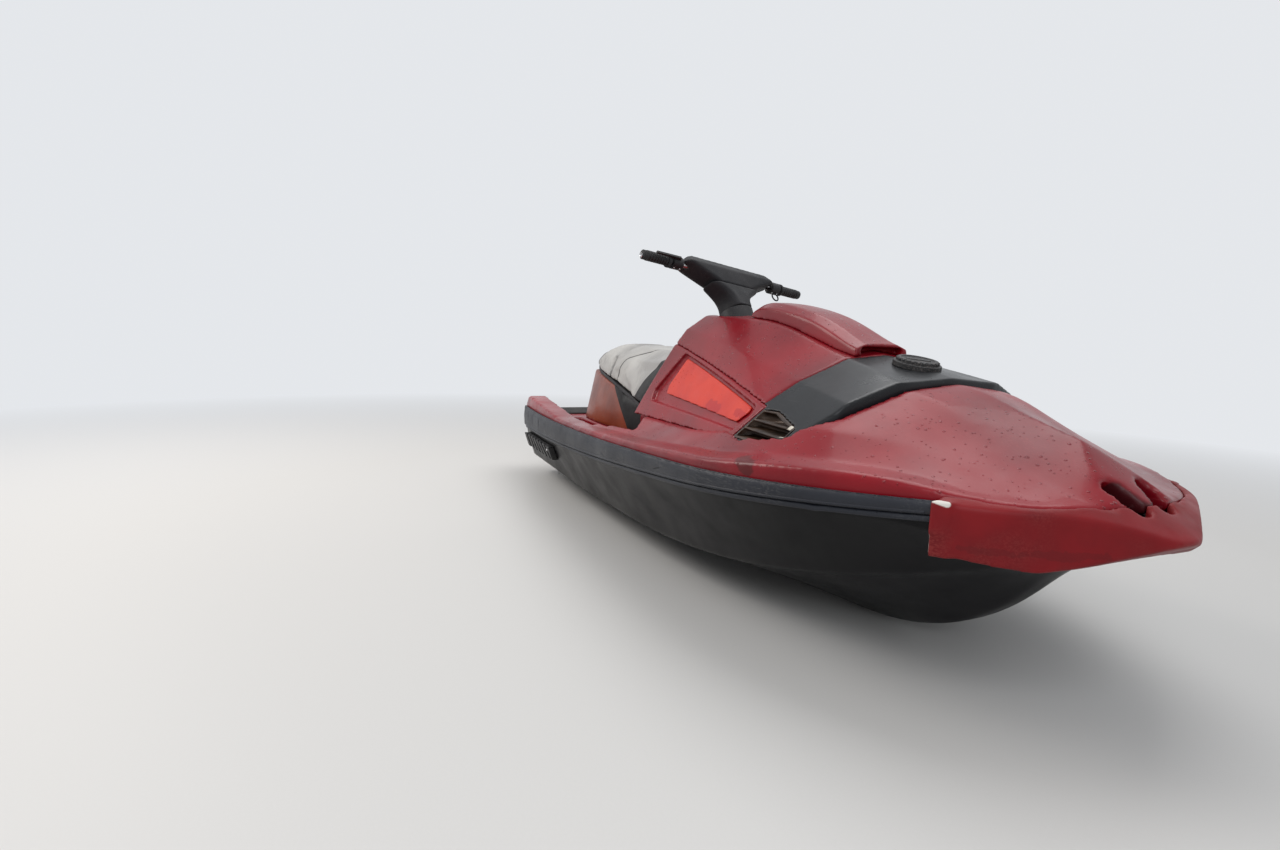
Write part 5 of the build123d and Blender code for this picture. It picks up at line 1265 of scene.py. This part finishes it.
@dataclass
class Fittings:
    """The screws of the hull and jet unit, and the small parts of the handlebar."""

    jet_axis: float = 0.138
    flange_circle: float = 0.094
    flange_screws: int = 8
    nozzle_pivot: float = -1.368
    bucket_pivot: float = -1.314
    wire: float = 0.0021
    ring_radius: float = 0.0125
    ring_lift: float = 0.0248
    ring_shift: float = 0.012
    ring_steps: int = 28
    neck_spread: float = 0.34
    neck_foot: float = 0.030
    sponson_stations: tuple[float, ...] = (0.20, 0.365, 0.53, 0.69)
    sponson_height: float = 0.216
    sponson_climb: float = 0.03
    eye_height: float = 0.232
    eye_reach: float = 0.0205
    handle_foot: tuple[float, float] = (0.330, 0.150)

    def build(self, shop: Workshop) -> None:
        """Builds the screws and the small parts."""
        self.spread_neck(shop)
        for studs in (*self.jet_studs(), *self.hull_studs(), *self.bar_studs(shop)):
            studs.build(shop)
        self.wire_ring(shop)

    def jet_studs(self) -> tuple[Studs, ...]:
        """Returns the jet unit's screws."""
        flange = []
        for index in range(self.flange_screws):
            turn = math.tau * (index + 0.5) / self.flange_screws
            across, lift = self.flange_circle * math.cos(turn), self.flange_circle * math.sin(turn)
            flange.append(((-1.70, across, self.jet_axis + lift), AHEAD))
        pivots = (((self.nozzle_pivot, 0.0, 0.34), DOWN), ((self.nozzle_pivot, 0.0, -0.06), UP))
        pins = tuple(((self.bucket_pivot, side.value * 0.3, self.jet_axis), side.inwards) for side in Side)
        return (
            Studs("pump_flange_screws", "pump_housing", STAINLESS, 0.0062, 0.0042, tuple(flange)),
            Studs("nozzle_pivot_screws", "pump_housing", STAINLESS, 0.0085, 0.0030, pivots),
            Studs("bucket_pin_screws", "pump_housing", STAINLESS, 0.0062, 0.0022, pins),
        )

    def hull_studs(self) -> tuple[Studs, ...]:
        """Returns the screws of the sponsons, the stern eyes and the grab handle."""
        found = []
        for side in Side:
            rays = []
            for station in self.sponson_stations:
                height = self.sponson_height + (station - self.sponson_stations[0]) * self.sponson_climb
                rays.append((at(station, side.value * 0.9, height), side.inwards))
            node = f"sponson_{side.word}"
            found.append(Studs(f"{node}_screws", node, STAINLESS, 0.006, 0.0028, tuple(rays)))
        eyes = tuple(
            ((-1.72, side.value * 0.3, self.eye_height + lift), AHEAD)
            for side in Side
            for lift in (-self.eye_reach, self.eye_reach)
        )
        found.append(Studs("stern_eye_screws", "stern_eyes", STAINLESS, 0.0042, 0.0022, eyes))
        station, across = self.handle_foot
        feet = tuple((at(station, side.value * across, 0.39), DOWN) for side in Side)
        found.append(Studs("grab_handle_feet", "stern_deck", BLACK_PLASTIC, 0.0235, 0.0050, feet))
        return tuple(found)

    def bar_studs(self, shop: Workshop) -> tuple[Studs, ...]:
        """Returns the handlebar's end plugs, buttons and clamp screws.

        Args:
            shop: The workshop.

        Returns:
            The studs, with rays along and across the bars as they stand at rest.
        """
        along, up, back = self.bar_axes(shop)
        plugs = []
        for side in Side:
            grip = shop.middle(f"grip_{side.word}")
            plugs.append((tuple(grip + along * side.value * 0.2), tuple(-along * side.value)))
        found = [Studs("bar_end_plugs", "handlebar", STAINLESS, 0.0104, 0.0105, tuple(plugs))]
        for node in ("throttle_box", "switch_box"):
            box = shop.middle(node)
            buttons = [(tuple(box + back * 0.1 + along * shift), tuple(-back)) for shift in (-0.010, 0.012)]
            clamps = [(tuple(box - up * 0.1 + along * shift), tuple(up)) for shift in (-0.014, 0.014)]
            found.append(Studs(f"{node}_buttons", node, GRIP_RUBBER, 0.0068, 0.0050, tuple(buttons)))
            found.append(Studs(f"{node}_screws", node, STAINLESS, 0.0040, 0.0022, tuple(clamps)))
        return tuple(found)

    def bar_axes(self, shop: Workshop) -> tuple[Vector, Vector, Vector]:
        """Returns the ways along the bar to port, up the steering axis and back to the rider."""
        along = (shop.middle("grip_port") - shop.middle("grip_starboard")).normalized()
        up = Vector((-0.5, 0.0, 0.8660254))
        up = (up - along * up.dot(along)).normalized()
        back = along.cross(up)
        return along, up, back if back.x < 0 else -back

    def spread_neck(self, shop: Workshop) -> None:
        """Flares the neck's rubber towards the pad, clear of the cowl below."""
        along, up, _ = self.bar_axes(shop)
        middle = shop.middle("steering_stem")
        verts = bpy.data.objects["steering_neck_moulding"].data.vertices
        lifts = [(vert.co - middle).dot(up) for vert in verts]
        low, high = min(lifts) + self.neck_foot, max(lifts)
        for vert in verts:
            flare = self.neck_spread * smooth_step(((vert.co - middle).dot(up) - low) / (high - low))
            vert.co += along * (vert.co - middle).dot(along) * flare

    def wire_ring(self, shop: Workshop) -> None:
        """Stands the small wire ring on the pad's port end."""
        along, up, back = self.bar_axes(shop)
        rise = self.ring_lift + self.ring_radius * 0.55
        centre = shop.middle("switch_box") - along * self.ring_shift + up * rise
        path = []
        for index in range(self.ring_steps + 1):
            turn = math.tau * index / self.ring_steps
            path.append(centre + (along * math.cos(turn) + up * math.sin(turn)) * self.ring_radius)
        form = bmesh.new()
        tube(form, path, self.wire, 8)
        shop.add("cable_ring", form, GRIP_RUBBER, "switch_box")


@dataclass
class Mats:
    """Raised ribs on the footwell mats and the stern platform's mat."""

    pitch: float = 0.014
    width: float = 0.0075
    height: float = 0.0022
    step: float = 0.004
    margin: float = 0.009
    chamfer: float = 0.6

    def build(self, shop: Workshop) -> None:
        """Builds the ribs of every mat."""
        for node in ("footwell_mat_port", "footwell_mat_starboard", "platform_mat"):
            self.rib(shop, node)

    def rib(self, shop: Workshop, node: str) -> None:
        """Lays ribs across one mat, each as long as the mat is there.

        Args:
            shop: The workshop.
            node: The mat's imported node.
        """
        tree = shop.tree(node)
        low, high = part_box(node)
        form = bmesh.new()
        count = int((high.x - low.x - 2 * self.margin) / self.pitch)
        for index in range(count + 1):
            x = low.x + self.margin + index * self.pitch
            for first, last in self.reach(tree, x, low, high):
                if last - first > 4 * self.width:
                    self.strip(form, x, first + self.margin, last - self.margin, high.z)
        shop.add(f"{node}_ribs", form, MAT_RUBBER, node)

    def reach(self, tree: BVHTree, x: float, low: Vector, high: Vector) -> list[tuple[float, float]]:
        """Finds where a line across the mat lies on it.

        Args:
            tree: The mat's surface.
            x: The line's place along the craft.
            low: The mat's lowest corner.
            high: The mat's highest corner.

        Returns:
            The first and last Y of each stretch.
        """
        found: list[tuple[float, float]] = []
        y, start = low.y, None
        while y <= high.y + self.step:
            on = tree.ray_cast(Vector((x, y, high.z + 0.01)), Vector(DOWN), 0.02)[0] is not None
            if on and start is None:
                start = y
            if not on and start is not None:
                found.append((start, y - self.step))
                start = None
            y += self.step
        return found

    def strip(self, form: bmesh.types.BMesh, x: float, first: float, last: float, top: float) -> None:
        """Adds one rib with chamfered edges.

        Args:
            form: The bmesh that it goes into.
            x: Its place along the craft.
            first: Where it starts across the craft.
            last: Where it ends.
            top: The mat's top.
        """
        size = Matrix.Diagonal((self.width, last - first, self.height * 2, 1))
        place = Matrix.Translation((x, (first + last) / 2, top))
        made = bmesh.ops.create_cube(form, size=1.0, matrix=place @ size)
        edges = {edge for vert in made["verts"] for edge in vert.link_edges}
        upper = [edge for edge in edges if all(vert.co.z > top for vert in edge.verts)]
        bevel(form, upper, self.height * self.chamfer, 1)


@dataclass
class Studio:
    """The pale floor, the soft lights, the backdrop and the photograph's camera."""

    eye: Point = (2.3196, -1.5451, 0.8104)
    azimuth: float = math.radians(64.934)
    pitch: float = math.radians(7.599)
    roll: float = math.radians(2.378)
    focal_px: float = 714.02
    width_px: float = 1280.0
    sensor: float = 36.0
    floor_half: float = 24.0
    floor_colour: Colour = (0.60, 0.59, 0.57, 1.0)
    fleck_colour: Colour = (0.63, 0.6195, 0.6042, 1.0)
    fade: tuple[float, float] = (2.3, 6.0)
    sky_colour: Colour = (0.78, 0.80, 0.83, 1.0)
    light_level: float = 0.55
    aim: Point = (0.1, 0.0, 0.45)
    lamps: tuple[tuple[str, Point, float, float, Point], ...] = (
        ("key", (-2.6, -3.4, 3.4), 2.6, 125.0, (1.0, 0.95, 0.9)),
        ("fill", (3.6, -2.2, 3.0), 2.4, 60.0, (0.93, 0.96, 1.0)),
        ("top", (-0.4, 1.0, 4.4), 3.2, 90.0, (1.0, 1.0, 1.0)),
    )

    def build(self) -> None:
        """Builds the studio."""
        self.light_world()
        self.lay_floor()
        for lamp in self.lamps:
            self.hang_lamp(*lamp)
        self.set_camera()
        bpy.context.scene.view_settings.view_transform = "Standard"

    def light_world(self) -> None:
        """Lights the world evenly, and shows the pale backdrop to the camera and to gloss."""
        world = bpy.data.worlds.new("studio")
        bpy.context.scene.world = world
        graph = blank(world)
        light = graph.add("ShaderNodeBackground", {"Color": self.sky_colour, "Strength": self.light_level})
        shown = graph.add("ShaderNodeBackground", {"Color": self.sky_colour, "Strength": 1.0})
        inputs = {0: self.seen(graph), 1: light.outputs[0], 2: shown.outputs[0]}
        mixed = graph.add("ShaderNodeMixShader", inputs)
        graph.add("ShaderNodeOutputWorld", {"Surface": mixed.outputs[0]})

    def seen(self, graph: Graph) -> bpy.types.NodeSocket:
        """Returns 1 for rays from the camera, gloss and glass, and 0 for the rest."""
        path = graph.add("ShaderNodeLightPath").outputs
        either = graph.math("ADD", path["Is Camera Ray"], path["Is Glossy Ray"])
        return graph.math("ADD", either, path["Is Transmission Ray"], clamp=True)

    def lay_floor(self) -> None:
        """Lays the floor, which fades into the backdrop far from the craft."""
        form = bmesh.new()
        bmesh.ops.create_grid(form, x_segments=8, y_segments=8, size=self.floor_half)
        mesh = bpy.data.meshes.new("studio_floor")
        form.to_mesh(mesh)
        form.free()
        floor = link("studio_floor", mesh)
        material = bpy.data.materials.new("pale_floor")
        graph = blank(material)
        grain = graph.noise(160.0, 4.0)
        colour = graph.mix(grain, self.floor_colour, self.fleck_colour)
        rough = graph.span(grain, 0.3, 0.7, 0.5, 0.62)
        ground = graph.add("ShaderNodeBsdfPrincipled", {"Base Color": colour, "Roughness": rough})
        glow = graph.add("ShaderNodeEmission", {"Color": self.sky_colour, "Strength": 1.0})
        far = graph.span(graph.vector("LENGTH", graph.place()), *self.fade)
        share = graph.times(far, self.seen(graph))
        mixed = graph.add("ShaderNodeMixShader", {0: share, 1: ground.outputs[0], 2: glow.outputs[0]})
        graph.add("ShaderNodeOutputMaterial", {"Surface": mixed.outputs[0]})
        mesh.materials.append(material)

    def hang_lamp(self, name: str, place: Point, size: float, power: float, colour: Point) -> None:
        """Hangs one soft square lamp that looks at the craft.

        Args:
            name: The lamp's name.
            place: Where it hangs.
            size: Its side, in metres.
            power: Its power, in watts.
            colour: Its colour.
        """
        lamp = bpy.data.lights.new(name, "AREA")
        lamp.size = size
        lamp.energy = power
        lamp.color = colour
        holder = link(name, lamp)
        holder.matrix_world = facing(place, Vector(place) - Vector(self.aim))

    def set_camera(self) -> None:
        """Sets the camera where the photograph was taken from."""
        turn, tip = self.azimuth, self.pitch
        ahead = Vector((-math.sin(turn) * math.cos(tip), math.cos(turn) * math.cos(tip), -math.sin(tip)))
        right = Vector((math.cos(turn), math.sin(turn), 0.0))
        up = right.cross(ahead)
        level, lean = math.cos(self.roll), math.sin(self.roll)
        right, up = level * right + lean * up, level * up - lean * right
        axes = Matrix((right, up, -ahead)).transposed().to_4x4()
        camera = bpy.data.cameras.new("photograph")
        camera.sensor_fit = "HORIZONTAL"
        camera.sensor_width = self.sensor
        camera.lens = self.sensor * self.focal_px / self.width_px
        camera.clip_end = 200.0
        holder = link("photograph", camera)
        holder.matrix_world = Matrix.Translation(self.eye) @ axes
        bpy.context.scene.camera = holder


def main() -> None:
    """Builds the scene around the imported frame."""
    logging.basicConfig(level=logging.INFO, format="%(name)s: %(message)s")
    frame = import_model()
    shop = Workshop(frame)
    Studio().build()
    parts = (Mouldings(), Saddle(), FillerCap(), PedestalBoot(), WellFronts(), RubRails(), Mats(), Fittings())
    for part in parts:
        part.build(shop)
        LOG.info("built: %s", type(part).__name__)


if __name__ == "__main__":
    main()
